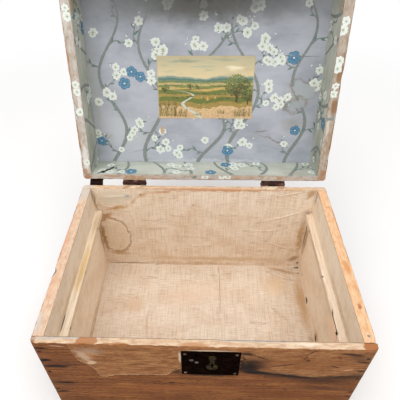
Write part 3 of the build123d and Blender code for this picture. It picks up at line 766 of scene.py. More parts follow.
@dataclass(frozen=True)
class CardFinish:
    """A printed card of open country with a stream under a cream sky, in colours gone soft with age."""

    name: str = "Pasted card print"

    def make(self) -> bpy.types.Material:
        """Build the material.

        Returns:
            The finished material.
        """
        n = Shader(self.name)
        place = n.place()
        across, up, _ = n.split(place)
        roll = n.cloud(place, (46.0, 400.0, 40.0), 3.0, 0.5)
        tuft = n.cloud(place, (4.0, 3.0, 3.0), 5.0, 0.7)
        sky = n.ramp(n.line(up, 58.0, 100.0, 0.0, 1.0), [(0.0, "e3cea3"), (0.5, "d3c59d"), (1.0, "b9b293")])
        veil = n.cloud(place, (34.0, 5.5, 30.0), 5.0, 0.62)
        colour = n.blend(n.step(veil, 0.52, 0.68, 0.0, 0.5), sky, "a3ae96")
        bands = (
            (67, 5, 0.6, "8fa397"), (64.5, 4, 0.5, "5d8078"), (61.5, 2, 0.5, "7d8f68"), (58, 2, 0.5, "c3b077"),
            (54, 2.5, 0.6, "808c52"), (50.5, 3, 0.5, "cdae68"), (46, 4, 0.6, "6f7c3e"), (40, 4, 0.6, "a8914e"),
            (34.5, 5, 0.8, "6d783a"), (27, 6, 1.0, "a58d4d"), (19, 7, 1.6, "dfbd8f"), (9, 6, 1.6, "dcb78e"),
        )
        for level, swing, soft, tone in bands:
            line = n.waver(up, roll, 0.25, 0.75, swing)
            line = n.waver(line, tuft, 0.25, 0.75, soft)
            shaded = n.blend(n.step(tuft, 0.42, 0.66, 0.0, 0.4), tone, "66693a")
            colour = n.blend(n.step(line, level + 0.4, level - 0.4), colour, shaded)
        clouds = mark_rows(
            (44, 91, 36, 2.6, "8fa08c", 2, 0.7, 0.8), (104, 94, 26, 1.8, "98a792", -3, 0.7, 0.75),
            (74, 84, 30, 1.6, "a4b09b", 2, 0.7, 0.7), (124, 82, 22, 4.5, "f3e8ca", 0, 0.8, 0.8),
        )
        colour = n.marked(colour, (across, up, place), clouds, (30.0, 9.0, 9.0), (14.0, 12.0))
        edge = n.calc("MINIMUM", across, n.calc("SUBTRACT", CARD_SIZE[0], across))
        edge = n.calc("MINIMUM", edge, n.calc("MINIMUM", up, n.calc("SUBTRACT", CARD_SIZE[1], up)))
        edge = n.waver(edge, tuft, 0.3, 0.7, 1.2)
        colour = n.over(colour, "c9b58f", edge, 2.2, 0.4, 0.75)
        colour = n.over(colour, "a98d5e", n.cloud(place, (30.0,) * 3, 5.0), 0.55, 0.7, 0.3)
        return n.finish(colour, n.line(tuft, 0.3, 0.7, 0.42, 0.62), n.dents((tuft, 0.03)),
                        Specular_IOR_Level=0.35)


@dataclass(frozen=True)
class MetalFinish:
    """Old metal, patched with rust or tarnish and rubbed bright on its high places.

    Attributes:
        name: The material's name.
        dark: The main colour.
        patch: Rust or tarnish.
        bright: Where it is rubbed.
        metallic: How much of a metal it looks.
        rough: The main roughness.
        rubbed: How much of it is bright.
        pits: Depth of the pitting.
        coat: Colour of old paint over a hinge leaf where it lies on its board, or nothing.
        swung: How far the leaf is turned from the closed trunk, in degrees.
        shine: How strongly it mirrors.
    """

    name: str
    dark: str
    patch: str
    bright: str
    metallic: float = 0.6
    rough: float = 0.55
    rubbed: float = 0.4
    pits: float = 0.25
    coat: str = ""
    swung: float = 0.0
    shine: float = 0.2

    def make(self) -> bpy.types.Material:
        """Build the material.

        Returns:
            The finished material.
        """
        n = Shader(self.name)
        place = n.metal_place()
        crust = n.cloud(place, (5.0,) * 3, 6.0, 0.68)
        rub = n.cloud(place, (9.0, 7.0, 7.0), 4.0, 0.6)
        grit = n.cloud(place, (0.7,) * 3, 3.0, 0.6)
        colour = n.blend(n.step(crust, 0.46, 0.62), self.dark, self.patch)
        colour = n.over(colour, self.bright, rub, 0.52, 0.68, self.rubbed)
        colour = n.darken(colour, grit, 0.3, 0.6, "9a9a9a", 0.4)
        rough = n.line(crust, 0.35, 0.65, self.rough - 0.1, self.rough + 0.18)
        metallic: Feed = self.metallic
        if self.coat:
            _, y, z = n.split(place)
            dy, dz = n.calc("SUBTRACT", y, TRUNK.axis_y), n.calc("SUBTRACT", z, TRUNK.axis_z)
            turn = math.radians(self.swung)
            inward = n.calc("MULTIPLY_ADD", dy, -math.cos(turn), n.times(dz, math.sin(turn)))
            coat = n.step(n.waver(inward, rub, 0.3, 0.7, 1.2), 5.2, 6.0)
            chipped = n.times(coat, n.step(crust, 0.7, 0.62))
            colour = n.blend(chipped, colour, n.blend(n.step(rub, 0.4, 0.62), self.coat, "b08f70"))
            metallic = n.times(n.calc("SUBTRACT", 1.0, chipped), self.metallic)
        dents = n.dents((crust, self.pits), (grit, self.pits * 0.3))
        return n.finish(colour, rough, dents, Metallic=metallic, Specular_IOR_Level=self.shine)


@dataclass(frozen=True)
class LeatherFinish:
    """Dry dark strap leather, cracked across where it bends."""

    name: str = "Dry strap leather"

    def make(self) -> bpy.types.Material:
        """Build the material."""
        n = Shader(self.name)
        place = n.place()
        pores = n.add("TexVoronoi", {"Vector": n.vector("DIVIDE", place, (1.3,) * 3), "Scale": 1.0})
        cracks = n.cloud(place, (9.0, 0.9, 3.0), 4.0, 0.65)
        colour = n.ramp(n.cloud(place, (8.0,) * 3, 4.0), [(0.35, "0e0807"), (0.62, "241611")])
        colour = n.over(colour, "4a3328", cracks, 0.62, 0.74, 0.6)
        colour = n.blend(n.times(n.wear(), 0.5), colour, "59443a")
        return n.finish(colour, n.line(cracks, 0.3, 0.7, 0.5, 0.72), n.dents((pores, 0.15), (cracks, 0.3)),
                        Specular_IOR_Level=0.05)


@dataclass(frozen=True)
class FlatFace:
    """A flat face of the closed trunk, with its own two directions.

    Attributes:
        origin: Where both coordinates are 0.
        across: Direction of the first coordinate.
        up: Direction of the second.
        out: Direction away from what carries the face.
    """

    origin: Point
    across: Point
    up: Point
    out: Point

    def at(self, across: float, up: float, lift: float = 0.0) -> Point:
        """The closed place of a point of the face, lifted off it."""
        where = Vector(self.origin) + Vector(self.across) * across + Vector(self.up) * up + Vector(self.out) * lift
        return where.to_tuple()


class Blank:
    """A mesh in the making, in millimetres on the closed trunk."""

    def __init__(self) -> None:
        """Start with no points."""
        self.mesh = bmesh.new()
        self.place = self.mesh.verts.layers.float_vector.new("place")
        self.wear = self.mesh.verts.layers.float.new("wear")

    def point(self, where: Point, place: Point, wear: float = 0.0) -> bmesh.types.BMVert:
        """Add a point.

        Args:
            where: Its closed place.
            place: Its coordinates for the finish.
            wear: How near it is to a worn arris; on a lining, how far its rucks lift it.

        Returns:
            The new point.
        """
        vert = self.mesh.verts.new(Vector(where) * MM)
        vert[self.place] = place
        vert[self.wear] = wear
        return vert

    def face(self, corners: Sequence[bmesh.types.BMVert], finish: int = 0) -> None:
        """Add a face, unless it has no area or is there already."""
        if len(set(corners)) > 2 and self.mesh.faces.get(corners) is None:
            self.mesh.faces.new(corners).material_index = finish

    def grid(self, rows: Sequence[Sequence[bmesh.types.BMVert]], closed: bool = False) -> None:
        """Join rows of points with faces.

        Args:
            rows: Rows of equally many points.
            closed: Whether each row's end joins its start.
        """
        for low, high in zip(rows, rows[1:]):
            count = len(low)
            for place in range(count if closed else count - 1):
                after = (place + 1) % count
                self.face((low[place], low[after], high[after], high[place]))

    def piece(
        self, name: str, on_lid: bool, finishes: Sequence[bpy.types.Material], crease: float = 38.0,
        facing: Point | None = None,
    ) -> bpy.types.Object:
        """Make the object where it stands in the frame.

        Args:
            name: The piece's name.
            on_lid: Whether it swings open with the lid.
            finishes: Its materials, in the order of the faces' numbers.
            crease: Angle from which an edge stays sharp, in degrees.
            facing: For an open sheet, the closed direction that it faces.

        Returns:
            The new object, which rides on nothing yet.
        """
        if facing is None:
            bmesh.ops.recalc_face_normals(self.mesh, faces=self.mesh.faces)
        else:
            self.mesh.normal_update()
            wrong = [face for face in self.mesh.faces if face.normal.dot(Vector(facing)) < 0]
            bmesh.ops.reverse_faces(self.mesh, faces=wrong)
        data = bpy.data.meshes.new(name)
        self.mesh.to_mesh(data)
        self.mesh.free()
        if on_lid:
            data.transform(TRUNK.opened())
        data.polygons.foreach_set("use_smooth", [True] * len(data.polygons))
        data.set_sharp_from_angle(angle=math.radians(crease))
        for finish in finishes:
            data.materials.append(finish)
        made = bpy.data.objects.new(name, data)
        bpy.context.scene.collection.objects.link(made)
        return made


def mount(made: bpy.types.Object, body: str, slot: str, *nodes: str) -> bpy.types.Object:
    """Let a piece ride on its body and stand for its nodes.

    Args:
        made: The piece.
        body: The body that it moves with.
        slot: Not used.
        *nodes: The nodes that it stands for.

    Returns:
        The same piece.
    """
    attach(made, body)
    if nodes:
        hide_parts(*nodes)
    LOG.info("%s: %d faces, rides on %s", made.name, len(made.data.polygons), body)
    return made


END_PLACES = (0.0, 0.25, 0.6, 1.0, 1.5, 2.2, 3.1, 4.1, 5.1)
STEP_CLEAR = 0.3
STEP_HALF = 0.02


def stations(length: float, step: float, extra: Iterable[float] = ()) -> list[float]:
    """Places along a side, close together near both ends and at extra places.

    Args:
        length: The side's length.
        step: Distance between places in the middle.
        extra: Places where a recess begins or ends.

    Returns:
        The places in order.
    """
    near = [d for d in END_PLACES if d < length / 2]
    start = near[-1]
    count = max(1, round((length - 2 * start) / step))
    places = near + [length - d for d in near]
    places += [start + (length - 2 * start) * i / count for i in range(1, count)]
    for place in extra:
        places = [p for p in places if abs(p - place) > STEP_CLEAR] + [place - STEP_HALF, place + STEP_HALF]
    return sorted(set(round(p, 4) for p in places))


@dataclass(frozen=True)
class Recess:
    """A recess sunk into a board from its outer face or its rim.

    Attributes:
        from_rim: True if it is sunk from the rim, and False from the outer face.
        along: Its span along the board.
        across: Its span in depth on the rim, or in height on the outer face.
        depth: How deep it is.
    """

    from_rim: bool
    along: Flat
    across: Flat
    depth: float


@dataclass(frozen=True)
class Nick:
    """A knock in an arris: place along, height from the rim, size, depth, and whether it is the inner arris."""

    along: float
    below: float
    reach: float
    depth: float
    inner: bool = False


@dataclass(frozen=True)
class Board:
    """One board with uneven faces and worn arrises.

    Attributes:
        node: The node that it stands for.
        wood: Its finish, whose seed also sets its unevenness.
        origin: Closed place of its start, at its foot and outer face.
        along: Direction of its length.
        inward: Direction of its thickness.
        rimward: Direction of its height, towards the rim.
        size: Length, thickness and height.
        start: The coordinate at its start, so that marks use the trunk's own places.
        corner: Radius of its outer upright arrises.
        arris: Radius of the rim's outer arris.
        on_lid: Whether it belongs to the lid.
        recesses: What is sunk into it.
        nicks: Knocks in its arrises.
        step: Distance between points along it.
        deepest_bite: How deep wear eats into an arris at most.
        widest_round: The largest radius of a worn arris.
        face_wave: Half the height of the outer face's unevenness.
        rim_wave: Half the height of the rim's unevenness.
        wear_reach: How far from an arris its wear is seen.
    """

    node: str
    wood: PineFinish | RunnerFinish
    origin: Point
    along: Point
    inward: Point
    rimward: Point
    size: Point
    start: float
    corner: float = 0.4
    arris: float = 1.4
    on_lid: bool = False
    recesses: tuple[Recess, ...] = ()
    nicks: tuple[Nick, ...] = ()
    step: float = 5.0
    deepest_bite: float = 3.2
    widest_round: float = 4.8
    face_wave: float = 0.22
    rim_wave: float = 0.2
    wear_reach: float = 6.0

    def worn(self, l: float, t: float, h: float) -> tuple[Point, float]:
        """Move one point of the sharp board to where wear has left it.

        Args:
            l: Place along the length.
            t: Depth from the outer face.
            h: Height from the foot.

        Returns:
            The worn place and how near it is to a worn arris.
        """
        length, thick, high = self.size
        seed = self.wood.seed
        from_end = min(l, length - l)
        to_end = 1.0 if l < length / 2 else -1.0
        out = min(t, from_end)
        normal = (0.0, 1.0) if t <= from_end else (to_end, 0.0)
        nl, nt = l, t
        radius = self.corner
        if from_end < radius and t < radius:
            a, b = radius - from_end, radius - t
            reach = math.hypot(a, b)
            square = max(a, b)
            normal = (to_end * a / reach, b / reach)
            nl = (radius if to_end > 0 else length - radius) - square * normal[0]
            nt = radius - square * normal[1]
        nh = h
        below = high - h
        bite = max(0.0, ripple((l / 21, h / 30, 0), seed)) ** 2 * self.deepest_bite
        for q, e, base, side, up in (
            (out, below, self.arris * (0.75 + 0.4 * ripple((l / 9, 0, 0), seed)) + bite, 1.0, -1.0),
            (thick - t, below, 0.5 + 0.35 * ripple((l / 12, 3, 0), seed) + bite * 0.3, -1.0, -1.0),
            (out, h, 0.9 + bite * 0.6, 1.0, 1.0),
        ):
            r = min(base, thick * 0.45, self.widest_round)
            if q < r and e < r:
                a, b = r - q, r - e
                reach = math.hypot(a, b)
                dq, de = r - r * a / reach - q, r - r * b / reach - e
                direction = normal if side > 0 else (0.0, -1.0)
                nl += direction[0] * dq
                nt += direction[1] * dq
                nh += up * de
        face = max(0.0, 1 - 2 * t / thick)
        nt += face * self.face_wave * (1 + ripple((l / 60, h / 18, 0), seed))
        crown = max(0.0, 1 - below / 10)
        nh -= crown * self.rim_wave * (1 + ripple((l / 45, t / 9, 5), seed))
        for nick in self.nicks:
            side = thick if nick.inner else 0.0
            d = math.dist((l + self.start, t, below), (nick.along, side, nick.below)) / nick.reach
            if d < 1:
                push = nick.depth * (1 - d * d) ** 2
                nt += -push if nick.inner else push
                nh -= push * 0.6
        for recess in self.recesses:
            other = t if recess.from_rim else h
            inside = recess.along[0] < l < recess.along[1] and recess.across[0] < other < recess.across[1]
            if inside and recess.from_rim and below < 0.01:
                nh = high - recess.depth
            if inside and not recess.from_rim and t < 0.01:
                nt = recess.depth
        near = max(0.0, 1 - math.hypot(out, min(below, h + 2.0)) / self.wear_reach)
        return (nl, nt, nh), near

    def make(self) -> bpy.types.Object:
        """Build the board and mount it in place of its node.

        Returns:
            The board.
        """
        finish = self.wood.make()
        body, slot = ("lid", "lid_pine") if self.on_lid else ("trunk", "aged_pine")
        length, thick, high = self.size
        ls = stations(length, self.step, [p for r in self.recesses for p in r.along])
        ts = stations(thick, 2.5, [p for r in self.recesses if r.from_rim for p in r.across if 0 < p < thick])
        hs = stations(high, 7.0, [p for r in self.recesses if not r.from_rim for p in r.across])
        blank = Blank()
        made: dict[tuple[int, int, int], bmesh.types.BMVert] = {}
        origin, along = Vector(self.origin), Vector(self.along)
        inward, rimward = Vector(self.inward), Vector(self.rimward)

        def corner(i: int, j: int, k: int) -> bmesh.types.BMVert:
            """The point with these three numbers, made when first asked for."""
            if (i, j, k) not in made:
                l, t, h = ls[i], ts[j], hs[k]
                (nl, nt, nh), near = self.worn(l, t, h)
                where = origin + along * nl + inward * nt + rimward * nh
                made[i, j, k] = blank.point(where.to_tuple(), (l + self.start, h - high, t), near)
            return made[i, j, k]

        nl, nt, nh = len(ls) - 1, len(ts) - 1, len(hs) - 1
        for j in (0, nt):
            blank.grid([[corner(i, j, k) for i in range(nl + 1)] for k in range(nh + 1)])
        for k in (0, nh):
            blank.grid([[corner(i, j, k) for i in range(nl + 1)] for j in range(nt + 1)])
        for i in (0, nl):
            blank.grid([[corner(i, j, k) for j in range(nt + 1)] for k in range(nh + 1)])
        return mount(blank.piece("worn_" + self.node, self.on_lid, [finish]), body, slot, self.node)


@dataclass(frozen=True)
class Ruck:
    """A soft raised wrinkle in a lining, between two points of its face."""

    start: Flat
    end: Flat
    width: float = 2.0
    height: float = 0.9

    def lift(self, across: float, up: float) -> float:
        """How far it lifts the lining at a point of its face."""
        run = (self.end[0] - self.start[0], self.end[1] - self.start[1])
        length = math.hypot(*run)
        gone = ((across - self.start[0]) * run[0] + (up - self.start[1]) * run[1]) / length
        off = ((across - self.start[0]) * run[1] - (up - self.start[1]) * run[0]) / length
        if not 0 < gone < length or abs(off) > 3 * self.width:
            return 0.0
        off += 1.2 * ripple((gone / 15, off / 30, 2.0), length)
        return self.height * math.sin(math.pi * gone / length) * math.exp(-((off / self.width) ** 2))


def ruck_rows(*rows: tuple[float, ...]) -> tuple[Ruck, ...]:
    """Rucks from rows of both ends' coordinates, width and height."""
    return tuple(Ruck((u, v), (to_u, to_v), width, height) for u, v, to_u, to_v, width, height in rows)


@dataclass(frozen=True)
class Lining:
    """A lining glued to one face of the trunk, as one thin uneven sheet.

    Attributes:
        node: The node that it stands for.
        finish: Its cloth or paper.
        sheet: The face that it lies on.
        across: Its span in the first coordinate.
        up: Its span in the second.
        thick: Its thickness.
        cove: How far it curls off at the foot, top, start and end, in that order.
        rucks: Its wrinkles.
        wave: Height of its general unevenness.
        cell: Size of the mesh's cells.
        on_lid: Whether it belongs to the lid.
        held: How cloth is held, or nothing for paper.
        rests_on: What cloth is glued to; not used.
    """

    node: str
    finish: LinenFinish | PaperFinish
    sheet: FlatFace
    across: Flat
    up: Flat
    thick: float
    cove: tuple[float, float, float, float] = (0.0, 0.0, 0.0, 0.0)
    rucks: tuple[Ruck, ...] = ()
    wave: float = 0.15
    cell: float = 3.0
    on_lid: bool = False
    held: str = ""
    rests_on: str = ""

    def lift(self, across: float, up: float) -> float:
        """How far the lining stands off the board at a point, without its wrinkles."""
        seed = len(self.node)
        height = self.thick + self.wave * (1 + ripple((across / 32, up / 26, 0), seed)) / 2
        foot, top, start, end = self.cove
        uneven = 1 + 0.5 * ripple((across / 22, up / 22, 8), seed)
        for rise, gap in (
            (foot, up - self.up[0]), (top, self.up[1] - up),
            (start, across - self.across[0]), (end, self.across[1] - across),
        ):
            height += rise * uneven * math.exp(-gap / (1.2 * rise)) if rise else 0.0
        return height

    def make(self) -> bpy.types.Object:
        """Build the lining and mount it in place of its node.

        Returns:
            The lining.
        """
        finish = self.finish.make()
        body, slot = ("lid", "wall_paper") if self.on_lid else ("trunk", "lining_paper")
        if self.held:
            slot = "lining_cloth"
        blank = Blank()
        us = stations(self.across[1] - self.across[0], self.cell)
        vs = stations(self.up[1] - self.up[0], self.cell)
        rows = []
        for v in vs:
            up = self.up[0] + v
            row = []
            for u in us:
                across = self.across[0] + u
                raised = sum(ruck.lift(across, up) for ruck in self.rucks)
                where = self.sheet.at(across, up, self.lift(across, up) + raised)
                row.append(blank.point(where, (across, up, 0.0), raised))
            rows.append(row)
        blank.grid(rows)
        made = blank.piece("laid_" + self.node, self.on_lid, [finish], 60.0, self.sheet.out)
        mount(made, body, slot, self.node)
        return made


@dataclass(frozen=True)
class LeafSeats:
    """The shallow recesses in a back rim that the two hinge leaves lie in.

    Attributes:
        hinge_x: Distance of each hinge from the trunk's middle.
        reach: Half the length of a recess.
        depth: How far it reaches in from the outer face.
        sink: How deep it is.
    """

    hinge_x: float = 114.7
    reach: float = 19.15
    depth: float = 8.3
    sink: float = 1.2

    def recesses(self) -> tuple[Recess, ...]:
        """Both recesses, by length from the board's start."""
        centres = (TRUNK.half_width - self.hinge_x, TRUNK.half_width + self.hinge_x)
        return tuple(Recess(True, (c - self.reach, c + self.reach), (-1.0, self.depth), self.sink) for c in centres)


class Casework:
    """The case's four walls and its bottom."""

    wall_height = TRUNK.rim - TRUNK.bottom
    mortise = Recess(False, (184.8, 236.2), (130.8, 178.6), 7.4)

    def front(self) -> None:
        """Make the front board, with the lock's mortise in it."""
        skin = (
            (-200.0, 6.0), (-157.0, 4.0), (-153.6, -26.0), (-149.9, -40.0), (-140.9, -49.0), (-134.0, -60.0),
            (-131.0, -72.0), (-128.0, -80.5), (-122.0, -81.5), (-110.5, -75.9), (-72.0, -73.0), (-44.0, -73.3),
            (-34.0, -61.0), (-26.0, -54.0), (40.0, -52.0), (70.0, -57.0), (100.0, -63.0), (131.0, -68.0),
            (149.0, -73.0), (171.0, -63.0), (200.0, -61.0),
        )
        marks = mark_rows(
            (-141, -30, 26, 9, "b79c82", -62, 0.8, 0.75), (-131, -16, 20, 10, "a58c76", -20, 0.8, 0.6),
            (-136, -45, 7, 5, "c8a684", 10, 0.6, 0.8), (130, -34, 80, 26, "7c4c29", 0, 0.9, 0.6),
            (96, -66, 56, 12, "44291a", -9, 0.9, 0.9), (150, -77, 62, 14, "3f2616", -3, 0.9, 0.9),
            (190, -64, 34, 15, "4a2e1e", 14, 0.9, 0.8), (186, -22, 24, 14, "5c3a24", -14, 0.9, 0.7),
            (156, -98, 56, 9, "51301c", -5, 0.9, 0.8), (60, -84, 70, 8, "67391f", 2, 0.9, 0.6),
            (-176, -50, 34, 14, "5b3620", 4, 0.9, 0.75), (-184, -104, 30, 12, "5b3821", -2, 0.9, 0.7),
            (-192, -24, 22, 20, "6b4024", 0, 0.9, 0.6), (-96, -10, 60, 6, "6d4426", -1, 0.9, 0.6),
            (66, -40, 26, 26, "4a2b18", 0, 0.9, 0.95), (57, -44, 17, 25, "150c07", 0, 0.9, 0.97),
            (56, -50, 17, 13, "1a0f09", -12, 0.8, 0.97), (68, -60, 26, 7, "180e08", -10, 0.7, 0.97),
            (54, -15, 13, 6, "20130b", -14, 0.7, 0.9), (70, -23, 13, 1.6, "281810", -28, 0.6, 0.85),
            (48.5, -38, 4, 28, "1c110a", 0, 0.7, 0.9), (10, -69, 44, 6, "24140c", 0, 0.7, 0.9),
            (-30, -62, 9, 9, "3a2213", 0, 0.8, 0.8), (102, -66, 36, 3.6, "1f120a", -8, 0.7, 0.95),
            (126, -70, 30, 5, "2b190f", -6, 0.8, 0.85), (166, -68, 40, 7, "35200f", 6, 0.8, 0.85),
            (97, -40.5, 26, 1.3, "341d0e", 18, 0.5, 0.95), (66, -49, 18, 1.1, "2c190d", 10, 0.5, 0.9),
            (126, -9, 12, 1.2, "3a2212", 46, 0.5, 0.9), (121, -21, 7, 1.2, "3a2212", 66, 0.5, 0.85),
            (126, -27, 3.6, 3.4, "3a2212", 0, 0.5, 0.85), (160, -19.5, 5, 1.8, "3f2716", -24, 0.5, 0.8),
            (174, -12, 20, 4.4, "2c190e", -12, 0.7, 0.9), (190, -28, 12, 2.6, "2c190e", -14, 0.6, 0.85),
            (194, -50, 10, 4, "24150c", 6, 0.7, 0.85), (159, -41, 7, 2.2, "3d2616", -24, 0.5, 0.85),
            (176, -49, 9, 1.4, "c79c70", 16, 0.5, 0.8), (194, -108, 4.6, 2.6, "140b07", 10, 0.4),
            (-190, -11.5, 14, 3, "120a06", -4, 0.7), (-170, -6, 14, 1.8, "c4a98c", -6, 0.7, 0.6),
            (-192, -41, 12, 5, "140c07", 10, 0.7), (-182, -56, 28, 5, "1c1009", 3, 0.8, 0.97),
            (-158, -51.5, 28, 3, "4a2c19", 4, 0.8, 0.85), (-180, -101, 26, 2.8, "170d08", -2, 0.7),
            (-148, -100, 34, 0.9, "3b2415", 0, 0.6, 0.85), (-190, -128, 16, 3.2, "20130b", 4, 0.7, 0.9),
            (-58, -90.5, 9, 1.3, "22130a", -6, 0.5, 0.95), (-38, -92.6, 7, 1.5, "1c0f08", 6, 0.5, 0.95),
            (10, -9.4, 38, 1.7, "d8c4ac", 0, 0.7, 0.85), (-26, -26, 2.2, 17, "cdb69b", 0, 0.6, 0.85),
            (-40, -110, 150, 12, "91562c", 2, 0.9, 0.5), (120, -120, 110, 14, "6d3d1e", -3, 0.9, 0.6),
        )
        rim_marks = mark_rows(
            (-10, 1.4, 21, 5.6, "bd8d68", 0, 0.5, 0.9), (-102, 0.6, 19, 2.6, "b07c54", 0, 0.3, 0.9),
            (194, 5, 12, 9, "a5683e", 0, 0.2, 0.95), (-198, 4, 5, 9, "a2704c", 0, 0.4, 0.9),
            (-186, 6, 26, 2.6, "bcb3ab", 0, 0.7, 0.7), (-150, 7.6, 50, 1.6, "b3b0ae", 0, 0.6, 0.7),
            (-60, 5, 34, 2.4, "cda689", 0, 0.6, 0.6), (60, 8.2, 60, 1.2, "a9adb0", 0, 0.6, 0.7),
            (120, 6, 20, 2.6, "e9d8c2", 0, 0.6, 0.8), (40, 4, 24, 2.4, "c79e80", 0, 0.6, 0.6),
            (-133.5, 4.4, 13.5, 7.4, "b3805b", 0, 0.14), (-137, 0.8, 13, 2.6, "ae7a55", 0, 0.2),
        )
        wood = PineFinish("Front board pine", 1.0, skin=skin, face_marks=marks, rim_marks=rim_marks,
                          rim="dec4a6", rim_shade="c39c7c", nibbled=0.9)
        Board(
            "front_board", wood, (-TRUNK.half_width, -TRUNK.half_depth, TRUNK.bottom), (1, 0, 0), (0, 1, 0),
            (0, 0, 1), (2 * TRUNK.half_width, TRUNK.end, self.wall_height), -TRUNK.half_width, 5.0,
            recesses=(self.mortise,),
            nicks=(Nick(-199, 1, 6, 1.4), Nick(198, 0, 5, 1.2), Nick(-92, 0, 12, 0.8)),
        ).make()

    def back(self) -> None:
        """Make the back board, with the hinges' recesses in its rim."""
        marks = mark_rows(
            (-120, -60, 60, 18, "6a4325", 4, 0.8, 0.6), (90, -130, 80, 12, "5b3820", -3, 0.8, 0.6),
            (150, -40, 9, 7, "4a2c18", 0, 0.5, 0.8), (114.7, -6, 26, 12, "553521", 0, 0.8, 0.7),
            (-114.7, -6, 26, 12, "553521", 0, 0.8, 0.7),
        )
        rim_marks = mark_rows(
            (192, 5, 16, 8, "cfc8bf", 0, 0.8, 0.8), (0, 8, 110, 2.6, "cb9570", 0, 0.5, 0.8),
            (-120, 8, 60, 2, "cf9f7c", 0, 0.5, 0.6),
        )
        wood = PineFinish("Back board pine", 4.2, dark="5c3821", warm="7a5032", pale="8f643f",
                          face_marks=marks, rim_marks=rim_marks, pith=(-60.0, -18.0))
        Board(
            "back_board", wood, (TRUNK.half_width, TRUNK.half_depth, TRUNK.bottom), (-1, 0, 0), (0, -1, 0), (0, 0, 1),
            (2 * TRUNK.half_width, TRUNK.end, self.wall_height), -TRUNK.half_width, 5.0,
            recesses=LeafSeats().recesses(),
        ).make()

    def sides(self) -> None:
        """Make both side boards between the front and the back."""
        left_marks = mark_rows(
            (-40, 0.6, 9, 1.8, "1d1511", 0, 0.4), (122, 7, 30, 12, "cbc5bd", 0, 0.9, 0.85),
            (-118, 4, 24, 7, "c9c0b6", 0, 0.9, 0.7), (20, 2, 60, 2.8, "d59a78", 0, 0.7, 0.7),
            (-60, 5, 50, 5, "dba98a", 0, 0.9, 0.6),
        )
        right_marks = mark_rows(
            (94, 6, 1.2, 4.5, "b98a62", 20, 0.5, 0.7), (-24, 7, 16, 6, "d3935c", 8, 0.6, 0.8),
            (-85, 7, 5, 3, "b06c3c", 0, 0.5, 0.85), (-60, 4, 20, 4, "d99c66", 0, 0.7, 0.6),
            (40, 1, 70, 1.8, "c98d5c", 0, 0.6, 0.6),
        )
        stains = mark_rows(
            (-60, -40, 40, 16, "6b4527", 6, 0.8, 0.6), (50, -120, 60, 10, "553620", -4, 0.8, 0.6),
            (90, -70, 6, 5, "3e2515", 0, 0.5, 0.85),
        )
        left = PineFinish("Left side pine", 2.4, rim="e2c5aa", rim_shade="cda284", pith=(-100.0, -14.0),
                          face_marks=stains, rim_marks=left_marks, warm="7c4d2c", pale="936139")
        right = PineFinish("Right side pine", 7.1, rim="edc49c", rim_shade="dba678", pith=(-40.0, -20.0),
                           face_marks=stains, rim_marks=right_marks, warm="80502c", pale="976338")
        for name, side, wood, gap, nicks in (
            ("left", -1.0, left, 0.3, (Nick(-38, 0.5, 8, 1.6), Nick(60, 0, 14, 0.5))),
            ("right", 1.0, right, 0.8, (Nick(20, 0, 12, 0.6), Nick(-132, 0, 6, 1.2))),
        ):
            start = -TRUNK.inner_y + gap
            Board(
                f"{name}_side_board", wood, (side * TRUNK.half_width, start, TRUNK.bottom), (0, 1, 0), (-side, 0, 0),
                (0, 0, 1), (2 * TRUNK.inner_y - gap, TRUNK.side, self.wall_height), start, nicks=nicks,
            ).make()

    def bottom(self) -> None:
        """Make the bottom board."""
        wood = PineFinish("Bottom board pine", 9.3, dark="50301a", warm="6c4428", pale="815636",
                          rim="7b5435", rim_shade="66452b", bare="66452b", specks=0.0, pith=(-20.0, -24.0))
        Board(
            "bottom_board", wood, (-TRUNK.half_width, -TRUNK.half_depth, TRUNK.bottom), (1, 0, 0), (0, 0, -1),
            (0, 1, 0), (2 * TRUNK.half_width, TRUNK.bottom, 2 * TRUNK.half_depth), -TRUNK.half_width, 0.5, step=8.0,
        ).make()

    def make(self) -> None:
        """Make every board of the case."""
        self.front()
        self.back()
        self.sides()
        self.bottom()


